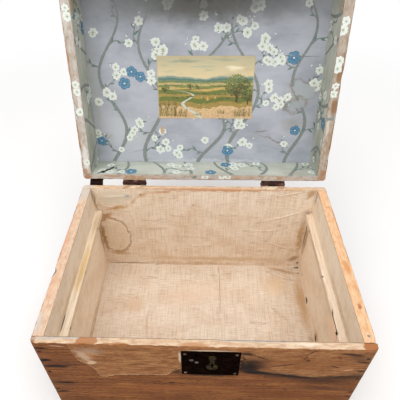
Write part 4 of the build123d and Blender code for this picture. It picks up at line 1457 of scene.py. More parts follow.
class LidCasework:
    """The lid's frame of four boards and its panel, as they are on the closed trunk."""

    paper_rim = {"rim": "c4bdb4", "rim_shade": "a59585", "bare": "a87e5a"}
    brown_rim = {"rim": "b9ad9f", "rim_shade": "94806c", "bare": "9a7452"}
    pith = (-30.0, -20.0)

    def make(self) -> None:
        """Make every board of the lid."""
        top = TRUNK.lid_ceiling
        high = top - TRUNK.lid_rim
        width, depth = 2 * TRUNK.half_width, 2 * TRUNK.inner_y
        low_marks = mark_rows(
            (-193, 5, 10, 7, "a9805f", 0, 0.6, 0.9), (193, 4, 9, 7, "a47a5a", 0, 0.6, 0.9),
            (-60, 6, 40, 3, "c2a284", 0, 0.6, 0.7), (80, 3, 50, 3, "c6a890", 0, 0.6, 0.7),
            (150, 6, 24, 3, "b98e6e", 0, 0.6, 0.7), (-140, 3, 30, 3, "cbb49c", 0, 0.6, 0.6),
        )
        left_marks = mark_rows(
            (105, 8, 30, 6, "d9d6d2", 0, 0.5, 0.85), (-110, 5, 26, 6, "cfc4ba", 0, 0.6, 0.8),
            (10, 10, 40, 4, "dcd4cb", 0, 0.6, 0.8), (-40, 2, 40, 3, "b28e70", 0, 0.7, 0.8),
            (70, 2, 30, 3, "b59478", 0, 0.7, 0.7), (128, 4, 9, 7, "ab8564", 0, 0.6, 0.85),
        )
        right_marks = mark_rows(
            (18.5, 5, 15, 7, "8d6b4e", 0, 0.5, 0.9), (-29.5, 4, 18, 7, "947153", 0, 0.5, 0.9),
            (-100, 6, 36, 6, "b6a594", 0, 0.7, 0.8), (80, 4, 40, 4, "a98e74", 0, 0.7, 0.8),
            (50, 10, 24, 3, "cfc8bd", 0, 0.6, 0.8), (128, 5, 8, 8, "a47a58", 0, 0.6, 0.9),
        )
        for name, side, seed, recesses in (("front", -1.0, 3.3, ()), ("back", 1.0, 5.7, LeafSeats().recesses())):
            wood = PineFinish(f"Lid {name} board pine", seed, rim_marks=low_marks, nibbled=3.4, pith=self.pith,
                              **self.paper_rim)
            Board(
                f"lid_{name}_board", wood, (side * TRUNK.half_width, side * TRUNK.half_depth, top), (-side, 0, 0),
                (0, -side, 0), (0, 0, -1), (width, TRUNK.end, high), -TRUNK.half_width, 5.0, on_lid=True,
                recesses=recesses,
            ).make()
        for name, side, seed, rim_marks, paint in (
            ("left", -1.0, 6.4, left_marks, self.paper_rim), ("right", 1.0, 8.2, right_marks, self.brown_rim),
        ):
            wood = PineFinish(f"Lid {name} board pine", seed, rim_marks=rim_marks, nibbled=4.2, pith=self.pith,
                              **paint)
            Board(
                f"lid_{name}_board", wood, (side * TRUNK.half_width, -TRUNK.inner_y, top), (0, 1, 0), (-side, 0, 0),
                (0, 0, -1), (depth, TRUNK.side, high), -TRUNK.inner_y, on_lid=True,
                nicks=(Nick(100, 0, 16, 0.7), Nick(-20, 0, 14, 0.6)),
            ).make()
        wood = PineFinish("Lid panel pine", 5.1, dark="5e3a20", warm="7e5333", pale="946740",
                          rim="8a6140", rim_shade="75502f", bare="75502f", specks=0.0, pith=(-120.0, -30.0))
        Board(
            "lid_panel", wood, (-TRUNK.half_width, -TRUNK.half_depth, TRUNK.lid_top), (1, 0, 0), (0, 0, -1),
            (0, 1, 0), (width, TRUNK.lid_top - top, 2 * TRUNK.half_depth), -TRUNK.half_width, 0.5, on_lid=True,
            step=8.0,
        ).make()


class TrayRunners:
    """The two runners nailed inside the case, one cracked and one split."""

    top = 152.4
    foot = 142.4
    width = 11.0
    start = -TRUNK.inner_y + 0.8
    length = 263.6

    def make(self) -> None:
        """Make both runners."""
        left = mark_rows(
            (0, 6, 56, 7, "dcb983", 0, 0.7, 0.85), (30, 8, 30, 4, "e6c58f", 0, 0.7, 0.8),
            (-87, 0.2, 18, 1.5, "2c2119", 0, 0.4), (-112, 7, 24, 5, "f2e2c8", 0, 0.6, 0.85),
            (100, 8, 34, 9, "cdb391", 0, 0.7, 0.7), (40, 11, 90, 0.8, "f4dfbb", 0, 0.6, 0.7),
        )
        right = mark_rows(
            (-84, 16.5, 25, 5.6, "ffe2c8", 0, 0.2, 0.97), (-75, 12.4, 22, 1.6, "2c170d", -10, 0.45),
            (-92, 16.5, 8, 1.1, "2a1912", -34, 0.4), (-3.3, 10.4, 1.4, 1.4, "3a2a20", 0, 0.4),
            (60, 3, 70, 2.4, "f4dfc2", 0, 0.6, 0.7), (129, 8, 4, 5, "7d6249", 0, 0.6, 0.8),
            (50, 14, 60, 5, "d2ae84", 0, 0.7, 0.6),
        )
        plain, split = (Nick(70, 0, 20, 0.5, True),), (Nick(-84, 0, 15, 1.4, True), Nick(-92, 1, 6, 1.6, True))
        for node, side, pale, shade, marks, nicks in (
            ("left_tray_runner", -1.0, "ffefd8", "e8ceaa", left, plain),
            ("right_tray_runner", 1.0, "f8e6d0", "e2c6a6", right, split),
        ):
            wood = RunnerFinish(in_words(node) + " pine", 3.0 + side, pale, shade, marks)
            Board(
                node, wood, (side * TRUNK.inner_x, self.start, self.foot), (0, 1, 0), (-side, 0, 0), (0, 0, 1),
                (self.length, self.width, self.top - self.foot), self.start, arris=0.3, nicks=nicks, step=3.0,
            ).make()


class CaseLinings:
    """Linen on the case's floor and walls, and smooth paper above the runners."""

    linen_thick, paper_thick = 0.3, 0.25
    above_floor = 0.6
    below_rim = 0.5
    behind_corner = 0.6

    def make(self) -> None:
        """Make every lining of the case."""
        x, y = TRUNK.inner_x, TRUNK.inner_y
        floor, top = TRUNK.bottom + self.above_floor, TRUNK.rim - self.below_rim
        stain = "c79d6c"
        back_marks = mark_rows(
            (-162, -112, 30, 44, "dcc3a0", 6, 0.5, 0.4), (-161, -112, 31, 49, "ab8150", 8, 0.09, 0.75, 0.07),
            (-168, -62, 19, 9, "b98a55", 24, 0.9, 0.9), (-181, -112, 6, 56, "b18650", 3, 0.8, 0.9),
            (-158, -160, 30, 7, "c39a68", -4, 0.9, 0.8), (-152, -20, 34, 20, "dccfbb", 4, 0.6, 0.9),
            (-148, -43, 30, 6, "c3955f", 16, 0.9, 0.85), (-117, -27, 6, 13, "caa06e", -24, 0.9, 0.7),
            (-103, -13, 16, 5, "c99b69", 30, 0.9, 0.75), (-66, -5, 36, 5, "cd996a", 8, 0.9, 0.8),
            (-184, -30, 3, 30, "a98e6c", 3, 0.7, 0.8), (-140, -188, 50, 1.6, "836a4e", 0, 0.5, 0.75),
            (-126, -16.5, 2.4, 1.9, "30271f", 0, 0.5), (-126, -17, 9, 8, "c2bfb6", 0, 0.8, 0.6),
            (-104.7, -12.5, 1.8, 1.7, "3a2c24", 0, 0.5, 0.9), (-16.9, -35.9, 1.6, 1.6, "6a5342", 0, 0.5, 0.8),
            (176, -110, 8, 66, "c09866", 2, 0.9, 0.8), (183.6, -104, 1.6, 60, "6b5038", 1, 0.6, 0.75),
            (172, -170, 14, 9, "a87d50", 24, 0.8, 0.7), (182, -182, 4, 4, "55402e", 20, 0.7, 0.85),
            (0, -190, 210, 10, "bb946a", 0, 0.95, 0.7), (30, -174, 170, 9, "d0ad82", 0, 0.95, 0.6),
            (40, -1, 130, 5, "cb9263", 0, 0.8, 0.85), (176, -8, 8, 18, "bc9366", -20, 0.7, 0.8),
        )
        floor_marks = mark_rows(
            (32.5, 78, 1.2, 52, "a98c6e", 0, 0.6, 0.8), (178, 50, 14, 84, stain, 0, 0.9, 0.75),
            (152, 120, 38, 6, "b78f66", -14, 0.8, 0.75), (180, 128, 7, 3, "58432f", 24, 0.6, 0.85),
            (181.6, 114, 1.6, 2.6, "4b3828", 10, 0.5, 0.85), (136, 84, 30, 34, "e0c199", -30, 0.9, 0.6),
            (-184.5, 20, 2.4, 120, "a5845f", 0, 0.8, 0.6), (181, -22, 6, 9, "b08d68", 0, 0.9, 0.6),
            (-60, 133, 140, 3, "a5845f", 0, 0.8, 0.8), (94, 6, 16, 1.2, "bf9f80", 0, 0.6, 0.7),
            (-96, 99, 15, 1.4, "ab8967", 0, 0.6, 0.7), (-120, 40, 26, 30, "dcbb9b", 20, 0.9, 0.6),
            (60, -60, 70, 40, "f0dcc4", 10, 0.9, 0.6), (-20, 60, 80, 30, "e6c9b0", 10, 0.9, 0.5),
        )
        back_rucks = ruck_rows(
            (92, -77, 150, -56, 1.6, 1.3), (70, -97, 138, -93, 1.5, 1.2), (104, -100, 152, -84, 1.6, 1.0),
            (126, -64, 182, -43, 1.8, 1.5), (118, -14, 168, -2, 2.0, 1.2), (100, -152, 152, -140, 1.6, 1.0),
            (110, -120, 176, -150, 2.0, 1.2), (26, -57, 60, -58, 1.4, 0.9), (128, -82, 168, -72, 1.4, 1.0),
            (84, -128, 132, -126, 1.4, 0.8), (-60, -60, -28, -62, 1.2, 0.7), (-40, -112, 10, -116, 1.4, 0.8),
            (-176, -20, -124, -15, 2.2, 1.4), (-110, -72, -72, -74, 1.2, 0.6), (-20, -140, 24, -138, 1.2, 0.6),
            (-108, -95, -60, -92, 1.2, 0.5), (-184, -34, -140, -44, 2.0, 1.0),
        )
        span = (floor - TRUNK.rim, top - TRUNK.rim)
        foot_marks = mark_rows((0, -184, 200, 9, "b08a64", 0, 0.9, 0.7))
        for name, side, marks, cove, rucks, cell in (
            ("back", 1, back_marks, (2.6, 0.0, 0.8, 0.8), back_rucks, 1.5),
            ("front", -1, foot_marks, (1.6, 0.0, 0.6, 0.6), (), 3.0),
        ):
            wall = FlatFace((0, side * y, TRUNK.rim), (1, 0, 0), (0, 0, 1), (0, -side, 0))
            linen = LinenFinish(f"{name.capitalize()} wall linen", "f6e7d4", "e8d0b5", marks=marks)
            Lining(f"{name}_lining", linen, wall, (-x, x), span, self.linen_thick, cove, rucks, 0.5, cell,
                   held="stretched", rests_on=f"worn_{name}_board").make()
        ground = FlatFace((0, 0, TRUNK.bottom), (1, 0, 0), (0, 1, 0), (0, 0, 1))
        rucks = ruck_rows(
            (31, 128, 32, 24, 1.4, 1.3), (-120, 100, -82, 97, 1.6, 1.2), (44, -20, 43, -100, 1.3, 0.7),
            (80, 8, 110, 4, 1.5, 0.9), (120, 118, 172, 96, 2.2, 1.0), (-150, 60, -112, 52, 1.6, 0.9),
            (-140, -20, -130, -90, 1.6, 0.7), (-60, 110, -20, 108, 1.4, 0.8), (10, 104, 60, 112, 1.4, 0.6),
            (-96, 20, -88, -60, 1.3, 0.5), (120, 40, 150, 10, 1.6, 0.7),
        )
        linen = LinenFinish("Floor linen", "ebdcca", "e0c9b2", marks=floor_marks)
        Lining("floor_lining", linen, ground, (-x, x), (-y, y), self.linen_thick, (0.8, 1.6, 1.0, 1.0), rucks,
               0.6, 1.5, held="laid", rests_on="worn_bottom_board").make()
        self.side_walls(floor, top)

    def side_walls(self, floor: float, top: float) -> None:
        """Make the linings of the side boards, below and above the runners.

        Args:
            floor: Level of the floor lining's face.
            top: Level where the linings end under the rim.
        """
        x, y = TRUNK.inner_x, TRUNK.inner_y - self.behind_corner
        right_marks = mark_rows(
            (50, -184.5, 8, 5.6, "2c1c0e", 8, 0.5), (101, -178, 2.6, 2, "4b3828", 0, 0.5, 0.85),
            (-60, -94, 26, 17, "ffe4cc", 12, 0.25, 0.9), (-86, -98, 8, 12, "d9ab82", 12, 0.7, 0.7),
            (-25, -176, 9, 14, "a98560", 0, 0.9, 0.7), (-27, -180, 4.6, 7, "2c231b", -20, 0.5),
            (128, -110, 7, 70, "b08a5e", 0, 0.8, 0.75), (127, -60, 3, 7, "5d4633", 10, 0.5, 0.8),
            (-60, -172, 90, 14, "c9a47a", 0, 0.9, 0.6), (10, -70, 60, 4, "cba87e", 0, 0.8, 0.6),
        )
        left_marks = mark_rows(
            (130, -110, 7, 80, "a5835a", 0, 0.8, 0.75), (136, -60, 4, 9, "75593f", 10, 0.6, 0.7),
            (0, -186, 140, 6, "c4a27c", 0, 0.9, 0.6),
        )
        lower = (floor - TRUNK.rim, TrayRunners.foot - TRUNK.rim)
        upper = (TrayRunners.top - TRUNK.rim, top - TRUNK.rim)
        for name, side, marks, crack in (("left", -1.0, left_marks, 0.9), ("right", 1.0, right_marks, 0.0)):
            wall = FlatFace((side * x, 0, TRUNK.rim), (0, 1, 0), (0, 0, 1), (-side, 0, 0))
            linen = LinenFinish(f"{name.capitalize()} wall linen", "fff1df", "f3dec5", 0.35, marks)
            Lining(f"{name}_lower_lining", linen, wall, (-y, y), lower, self.linen_thick, (0.9, 0, 0.6, 0.9),
                   wave=0.3, held="stretched", rests_on=f"worn_{name}_side_board").make()
            paper = LinenFinish(f"{name.capitalize()} upper paper", "faecd9", "e8d3b9", 0.25, mark_rows(
                (133, -10, 9, 34, "94846c", 0, 0.8, 0.75), (-60, -42, 80, 7, "cfb393", 0, 0.8, 0.6),
                (-87, -46.8, 17, 1.1, "2c2119", 0, 0.4, crack),
            ))
            Lining(f"{name}_upper_lining", paper, wall, (-y, y), upper, self.paper_thick, wave=0.2).make()


@dataclass(frozen=True)
class PaperFace:
    """One papered face of the lid: its node, sheet, spans, tone and marks, and its print's stems, blooms and seed."""

    node: str
    sheet: FlatFace
    across: Flat
    up: Flat
    tone: PaperTone
    marks: tuple[Mark, ...]
    stems: int
    blooms: int
    seed: int


class Print:
    """Flat printed shapes on one face, cut off at its edges.

    Attributes:
        inset: How far inside the face's edges they are cut off.
        fine: One thousandth, the unit in which shapes are lifted.
        layers: How many shapes lie over each other before the count starts again.
        layer_rise: Height of one such layer.
        oval_points: Points of an oval's outline.
    """

    inset = 0.3
    fine = 0.001
    layers = 40
    layer_rise = 0.0002
    oval_points = 12

    def __init__(
        self, sheet: FlatFace, across: Flat, up: Flat, seed: int, level: Callable[[float, float], float]
    ) -> None:
        """Start an empty print.

        Args:
            sheet: The face that it is printed on.
            across: The face's span in the first coordinate.
            up: Its span in the second.
            seed: Sets the design's chances.
            level: The print's height over the face at a point.
        """
        self.sheet = sheet
        self.across = across
        self.up = up
        self.level = level
        self.blank = Blank()
        self.chance = random.Random(seed)
        self.layer = 0

    def cut(self, points: Sequence[Flat]) -> list[Flat]:
        """Cut an outline off at the face's edges.

        Args:
            points: The outline.

        Returns:
            What is left of it.
        """
        kept = list(points)
        for axis, (low, high) in enumerate((self.across, self.up)):
            for limit, side in ((low + self.inset, 1.0), (high - self.inset, -1.0)):
                points, kept = kept, []
                for place, point in enumerate(points):
                    before = points[place - 1]
                    inside = (point[axis] - limit) * side >= 0
                    if inside != ((before[axis] - limit) * side >= 0):
                        share = (limit - before[axis]) / (point[axis] - before[axis])
                        kept.append(tuple(a + (b - a) * share for a, b in zip(before, point)))
                    if inside:
                        kept.append(point)
        return kept

    def shape(self, points: Sequence[Flat], ink: int, lift: float) -> None:
        """Print one flat shape.

        Args:
            points: Its outline.
            ink: The number of its colour.
            lift: Its height over the print's level, in thousandths of a millimetre.
        """
        outline = self.cut(points)
        if len(outline) > 2:
            self.layer += 1
            rise = lift * self.fine + (self.layer % self.layers) * self.layer_rise
            corners = [
                self.blank.point(self.sheet.at(u, v, self.level(u, v) + rise), (u, v, 0.0)) for u, v in outline
            ]
            self.blank.face(corners, ink)

    def oval(
        self, at: Flat, length: float, width: float, turn: float, ink: int, lift: float, tip: float = 0.0
    ) -> None:
        """Print an oval that starts at a point, as a petal or leaf does.

        Args:
            at: Where it starts.
            length: Its length.
            width: Its greatest width.
            turn: Its direction, in radians.
            ink: The number of its colour.
            lift: Its height over the print's level.
            tip: How sharply it ends, from 0, round, to 1.
        """
        outline = []
        for step in range(self.oval_points):
            angle = 2 * math.pi * step / self.oval_points
            along = (1 - math.cos(angle)) / 2
            swell = math.sin(angle) * (1 - tip * along ** 2 * 0.8)
            outline.append((along * length, swell * width / 2))
        c, s = math.cos(turn), math.sin(turn)
        self.shape([(at[0] + a * c - b * s, at[1] + a * s + b * c) for a, b in outline], ink, lift)

    def stroke(self, path: Sequence[Flat], start: float, end: float, ink: int, lift: float) -> None:
        """Print a stroke along a path.

        Args:
            path: Points along it.
            start: Its width where it starts.
            end: Its width at the tip.
            ink: The number of its colour.
            lift: Its height over the print's level.
        """
        last = len(path) - 1
        edges = []
        for place, (u, v) in enumerate(path):
            before, after = path[max(0, place - 1)], path[min(last, place + 1)]
            run = math.hypot(after[0] - before[0], after[1] - before[1]) or 1.0
            half = (start + (end - start) * place / last) / 2 * self.chance.uniform(0.88, 1.12)
            du, dv = (after[1] - before[1]) / run * half, (before[0] - after[0]) / run * half
            edges.append(((u + du, v + dv), (u - du, v - dv)))
        for low, high in zip(edges, edges[1:]):
            self.shape((low[0], low[1], high[1], high[0]), ink, lift)


class PaperPrint(Print):
    """Winding leafy stems with white daisies and blue periwinkles, printed on one papered face.

    The lifts set which shapes lie over which, in thousandths of a millimetre.
    """

    stem_lift, leaf_lift, vein_lift = 8.0, 30.0, 36.0
    rim_lift, petal_lift, blue_lift, cup_lift = 48.0, 50.0, 52.0, 55.0
    line_lift, heart_lift = 60.0, 70.0

    def __init__(self, face: PaperFace, level: float) -> None:
        """Start an empty print.

        Args:
            face: The papered face.
            level: How far the print lies off it.
        """
        super().__init__(face.sheet, face.across, face.up, face.seed, lambda u, v: level)
        self.face = face

    def daisy(self, at: Flat, radius: float) -> None:
        """Print a white daisy with shaded petals and an olive heart."""
        turn = self.chance.uniform(0, math.tau)
        count = self.chance.choice((6, 7, 8))
        for petal in range(count):
            angle = turn + math.tau * petal / count + self.chance.uniform(-0.1, 0.1)
            length = radius * self.chance.uniform(0.88, 1.1)
            self.oval(at, length, length * 0.74, angle, Ink.PETAL.at, self.petal_lift)
            self.oval(at, length * 0.6, length * 0.16, angle, Ink.SHADE.at, self.line_lift, 0.6)
        start = (at[0] - radius * 0.16, at[1])
        self.oval(start, radius * 0.32, radius * 0.32, 0.0, Ink.HEART.at, self.heart_lift)

    def bud(self, at: Flat, turn: float, size: float) -> None:
        """Print a closed white bud on a leafy cup."""
        self.oval(at, size, size * 0.7, turn, Ink.PETAL.at, self.petal_lift, 0.3)
        self.oval(at, size * 0.5, size * 0.5, turn, Ink.LEAF.at, self.cup_lift, 0.5)

    def periwinkle(self, at: Flat, radius: float) -> None:
        """Print a blue five-petalled flower with deep blue veins and a white eye."""
        turn = self.chance.uniform(0, math.tau)
        for petal in range(5):
            angle = turn + math.tau * petal / 5
            self.oval(at, radius * 1.04, radius * 0.86, angle, Ink.DEEP.at, self.rim_lift, -0.5)
            self.oval(at, radius * 0.96, radius * 0.74, angle, Ink.BLUE.at, self.blue_lift, -0.5)
            for vein in (-0.28, 0.0, 0.28):
                self.oval(at, radius * 0.74, radius * 0.07, angle + vein, Ink.DEEP.at, self.line_lift, 0.9)
        self.oval((at[0] - radius * 0.15, at[1]), radius * 0.3, radius * 0.3, 0.0, Ink.PETAL.at, self.heart_lift)

    def leaf(self, at: Flat, turn: float, length: float) -> None:
        """Print a pointed leaf with a pale vein."""
        self.oval(at, length, length * 0.42, turn, Ink.LEAF.at, self.leaf_lift, 1.0)
        self.oval(at, length * 0.8, length * 0.08, turn, Ink.STEM.at, self.vein_lift, 1.0)

    def shoot(self, at: Flat, turn: float, length: float, width: float, depth: int) -> None:
        """Print a curling side shoot with leaves, ending in flowers.

        Args:
            at: Where it leaves its stem.
            turn: The direction that it starts in.
            length: Its length.
            width: Its width at its root.
            depth: How many times it may branch again.
        """
        curl = self.chance.uniform(-1.6, 1.6)
        path = [at]
        steps = max(5, int(length / 3))
        for step in range(steps):
            angle = turn + curl * step / steps + 0.25 * math.sin(step * 0.9)
            u, v = path[-1]
            path.append((u + math.cos(angle) * length / steps, v + math.sin(angle) * length / steps))
            if step % 3 == 1:
                side = 1 if step % 2 else -1
                self.leaf(path[-1], angle + side * self.chance.uniform(0.5, 1.0), self.chance.uniform(6.0, 11.0))
            if depth and step == steps // 2:
                self.shoot(path[-1], angle - math.copysign(0.9, curl), length * 0.6, width * 0.7, depth - 1)
        self.stroke(path, width, 0.9, Ink.STEM.at, self.stem_lift)
        tip = path[-1]
        for _ in range(self.chance.randint(1, 3)):
            spot = (tip[0] + self.chance.uniform(-9, 9), tip[1] + self.chance.uniform(-9, 9))
            self.daisy(spot, self.chance.uniform(5.8, 8.2))
        for _ in range(2):
            spot = (tip[0] + self.chance.uniform(-14, 14), tip[1] + self.chance.uniform(-14, 14))
            self.bud(spot, self.chance.uniform(0, math.tau), self.chance.uniform(3.4, 4.8))

    def make(self) -> None:
        """Print the face's whole design and mount it."""
        face, chance = self.face, self.chance
        (low, high), (foot, top) = face.across, face.up
        wide, tall = high - low, top - foot
        for number in range(face.stems):
            root = low + wide * (number + 0.5 + chance.uniform(-0.2, 0.2)) / face.stems
            swing, phase = chance.uniform(12, 24), chance.uniform(0, math.tau)
            turns = chance.uniform(1.2, 1.8)
            path = []
            for step in range(int(tall / 4) + 2):
                v = foot + step * 4
                path.append((root + swing * math.sin(phase + turns * math.tau * (v - foot) / 267), v))
            self.stroke(path, 6.4, 3.0, Ink.STEM.at, self.stem_lift)
            for step in range(4, len(path) - 3, 9):
                side = 1 if (step // 9 + number) % 2 else -1
                turn = math.pi / 2 - side * chance.uniform(0.6, 1.2)
                self.shoot(path[step], turn, chance.uniform(28, 46), 2.6, 1 if chance.random() < 0.4 else 0)
        for _ in range(face.blooms):
            spot = (chance.uniform(low + 8, high - 8), chance.uniform(foot + 6, top - 4))
            if face.tone is PaperTone.RIM:
                self.daisy(spot, chance.uniform(6.0, 7.5))
                self.daisy((spot[0] + chance.uniform(9, 13), spot[1] - 1.5), chance.uniform(5.5, 7))
            else:
                self.periwinkle(spot, chance.uniform(8.0, 10.5))
            self.daisy((chance.uniform(low + 4, high - 4), chance.uniform(foot + 3, top - 3)), chance.uniform(5.5, 8))
        finishes = [InkFinish(ink, face.tone, face.marks).make() for ink in Ink]
        made = self.blank.piece("print_" + face.node, True, finishes, 60.0, face.sheet.out)
        mount(made, "lid", "wall_paper")


class CardInk(Printed):
    """The colours of the card's foliage, reeds and hay."""

    NIGHT = "2f3a20"
    MOSS = "4c5c2c"
    SAGE = "76864a"
    BARK = "3d2b1c"
    STRAW = "c9a35c"
    OCHRE = "94703a"
    CREAM = "efdcb4"
    WATER = "cdd4c6"

    def make(self) -> bpy.types.Material:
        """Build this ink's material."""
        n = Shader(f"Card ink {self.name.lower()}")
        grain = n.cloud(n.place(), (1.6,) * 3, 3.0, 0.6)
        colour = n.blend(n.step(grain, 0.4, 0.68, 0.0, 0.35), self.value, "b9a877")
        return n.finish(colour, n.line(grain, 0.3, 0.7, 0.45, 0.62), n.dents((grain, 0.02)), Specular_IOR_Level=0.3)


class CardPrint(Print):
    """Trees, hedges, hay and reeds drawn over the card's country."""

    def tree(self, at: Flat, width: float, height: float) -> None:
        """Draw a broad tree from its foot.

        Args:
            at: Its foot.
            width: Width of its crown.
            height: Its height.
        """
        chance = self.chance
        for lean in (-0.28, -0.05, 0.2):
            path = [(at[0] + lean * width * t * t, at[1] + height * 0.7 * t) for t in (0.0, 0.3, 0.6, 1.0)]
            self.stroke(path, width * 0.09, 0.5, CardInk.BARK.at, 10.0)
        for number in range(int(width * height * 0.55)):
            turn, reach = chance.uniform(0, math.tau), chance.random() ** 0.6
            u = at[0] + math.cos(turn) * reach * width / 2
            v = at[1] + height * 0.62 + math.sin(turn) * reach * height * 0.4
            light = (v - at[1]) / height + (at[0] - u) / width * 0.4 + chance.uniform(-0.3, 0.3)
            ink = CardInk.NIGHT if light < 0.52 else CardInk.MOSS if light < 0.78 else CardInk.SAGE
            self.oval((u, v), chance.uniform(1.4, 2.8), chance.uniform(0.9, 1.6), chance.uniform(0, math.tau), ink.at,
                      12.0 + number * 0.05, 0.4)

    def hedge(self, start: Flat, end: Flat, size: float) -> None:
        """Draw a hedge of small bushes between two points."""
        chance = self.chance
        count = int(math.dist(start, end) / size * 2.4)
        for number in range(count):
            t = number / count
            u, v = start[0] + (end[0] - start[0]) * t, start[1] + (end[1] - start[1]) * t
            ink = chance.choice((CardInk.NIGHT, CardInk.MOSS, CardInk.MOSS, CardInk.SAGE))
            spot = (u, v + chance.uniform(-0.2, 0.3) * size)
            self.oval(spot, size * chance.uniform(0.7, 1.3), size * 0.7, chance.uniform(-0.3, 0.3), ink.at, 8.0 + t)

    def haystack(self, at: Flat, size: float) -> None:
        """Draw a round-topped haystack with its shaded side."""
        outline = [(-0.5, 0.0), (-0.46, 0.5), (-0.3, 0.85), (0.0, 1.1), (0.3, 0.85), (0.46, 0.5), (0.5, 0.0)]
        self.shape([(at[0] + u * size, at[1] + v * size) for u, v in outline], CardInk.STRAW.at, 20.0)
        self.shape([(at[0] + u * size, at[1] + v * size) for u, v in outline[3:]] + [(at[0] + size * 0.1, at[1])],
                   CardInk.OCHRE.at, 22.0)
        self.oval((at[0] - size * 0.4, at[1] - size * 0.08), size * 1.6, size * 0.2, 0.0, CardInk.MOSS.at, 18.0)

    def reeds(self, at: Flat, wide: float, tall: float, count: int) -> None:
        """Draw a tuft of reeds with seed heads.

        Args:
            at: The middle of its foot.
            wide: Its width.
            tall: Its greatest height.
            count: How many blades it has.
        """
        chance = self.chance
        for number in range(count):
            foot = (at[0] + chance.uniform(-0.5, 0.5) * wide, at[1] + chance.uniform(-1.0, 1.0))
            high, lean = tall * chance.uniform(0.45, 1.0), chance.uniform(-0.35, 0.35)
            path = [(foot[0] + lean * high * t * t, foot[1] + high * t) for t in (0.0, 0.35, 0.7, 1.0)]
            ink = chance.choice((CardInk.OCHRE, CardInk.MOSS, CardInk.BARK, CardInk.SAGE, CardInk.STRAW))
            self.stroke(path, 0.55, 0.15, ink.at, 26.0 + number * 0.05)
            if chance.random() < 0.3:
                self.oval(path[-2], high * 0.3, 0.8, math.pi / 2 - lean, CardInk.BARK.at, 36.0, 0.3)

    def make(self) -> None:
        """Draw the card's whole design and mount it."""
        chance = self.chance
        bends = (
            (70, 1), (60, 10), (44, 18), (38, 26), (52, 33), (60, 39), (46, 44), (24, 47), (14, 51), (30, 55),
            (38, 57),
        )
        stream = [Vector(bends[0])]
        for before, after in zip(bends, bends[1:]):
            stream += [Vector(before).lerp(Vector(after), t / 4) for t in range(1, 5)]
        for _ in range(3):
            stream[1:-1] = [(a + b * 2 + c) / 4 for a, b, c in zip(stream, stream[1:], stream[2:])]
        last = len(stream) - 1
        for place, (a, b) in enumerate(zip(stream, stream[1:])):
            wide = (7.5 * (1 - place / last) ** 1.6 + 0.9) / 2
            corners = ((a.x - wide, a.y), (a.x + wide, a.y), (b.x + wide, b.y), (b.x - wide, b.y))
            self.shape(corners, CardInk.WATER.at, 2.0)
        for start, end, size in (
            ((4, 59.5), (58, 61), 0.9), ((70, 61), (150, 58.5), 1.0), ((2, 53), (40, 55), 1.4),
            ((84, 54), (122, 51.5), 1.5), ((30, 47), (86, 50), 1.7), ((2, 43), (30, 40), 2.2),
            ((60, 42), (112, 39.5), 2.2), ((20, 33.5), (58, 37), 2.4), ((96, 32), (152, 36), 2.6),
        ):
            self.hedge(start, end, size)
        for at, wide, tall in (
            ((128.0, 27.0), 40.0, 44.0), ((146.0, 24.0), 24.0, 28.0), ((52.0, 48.0), 9.0, 9.0),
            ((64.0, 49.0), 7.0, 7.0), ((12.0, 43.0), 12.0, 12.0),
        ):
            self.tree(at, wide, tall)
        for at, size in (((82.0, 30.0), 6.5), ((94.0, 33.0), 5.0), ((72.0, 34.0), 4.2)):
            self.haystack(at, size)
        for at, wide, tall, count in (
            ((16.0, 4.0), 30.0, 26.0, 90), ((38.0, 3.0), 18.0, 14.0, 40), ((138.0, 4.0), 26.0, 15.0, 60),
            ((104.0, 8.0), 12.0, 8.0, 24), ((66.0, 5.0), 10.0, 6.0, 14),
        ):
            self.reeds(at, wide, tall, count)
        inks = (CardInk.OCHRE, CardInk.MOSS, CardInk.STRAW, CardInk.CREAM)
        for _ in range(70):
            spot = (chance.uniform(2, 152), chance.uniform(2, 28))
            long, turn = chance.uniform(1.5, 4.5), chance.uniform(-0.2, 0.2)
            self.oval(spot, long, 0.5, turn, chance.choice(inks).at, 6.0)
        made = self.blank.piece("print_pasted_card", True, [ink.make() for ink in CardInk], 60.0, self.sheet.out)
        mount(made, "lid", "card")


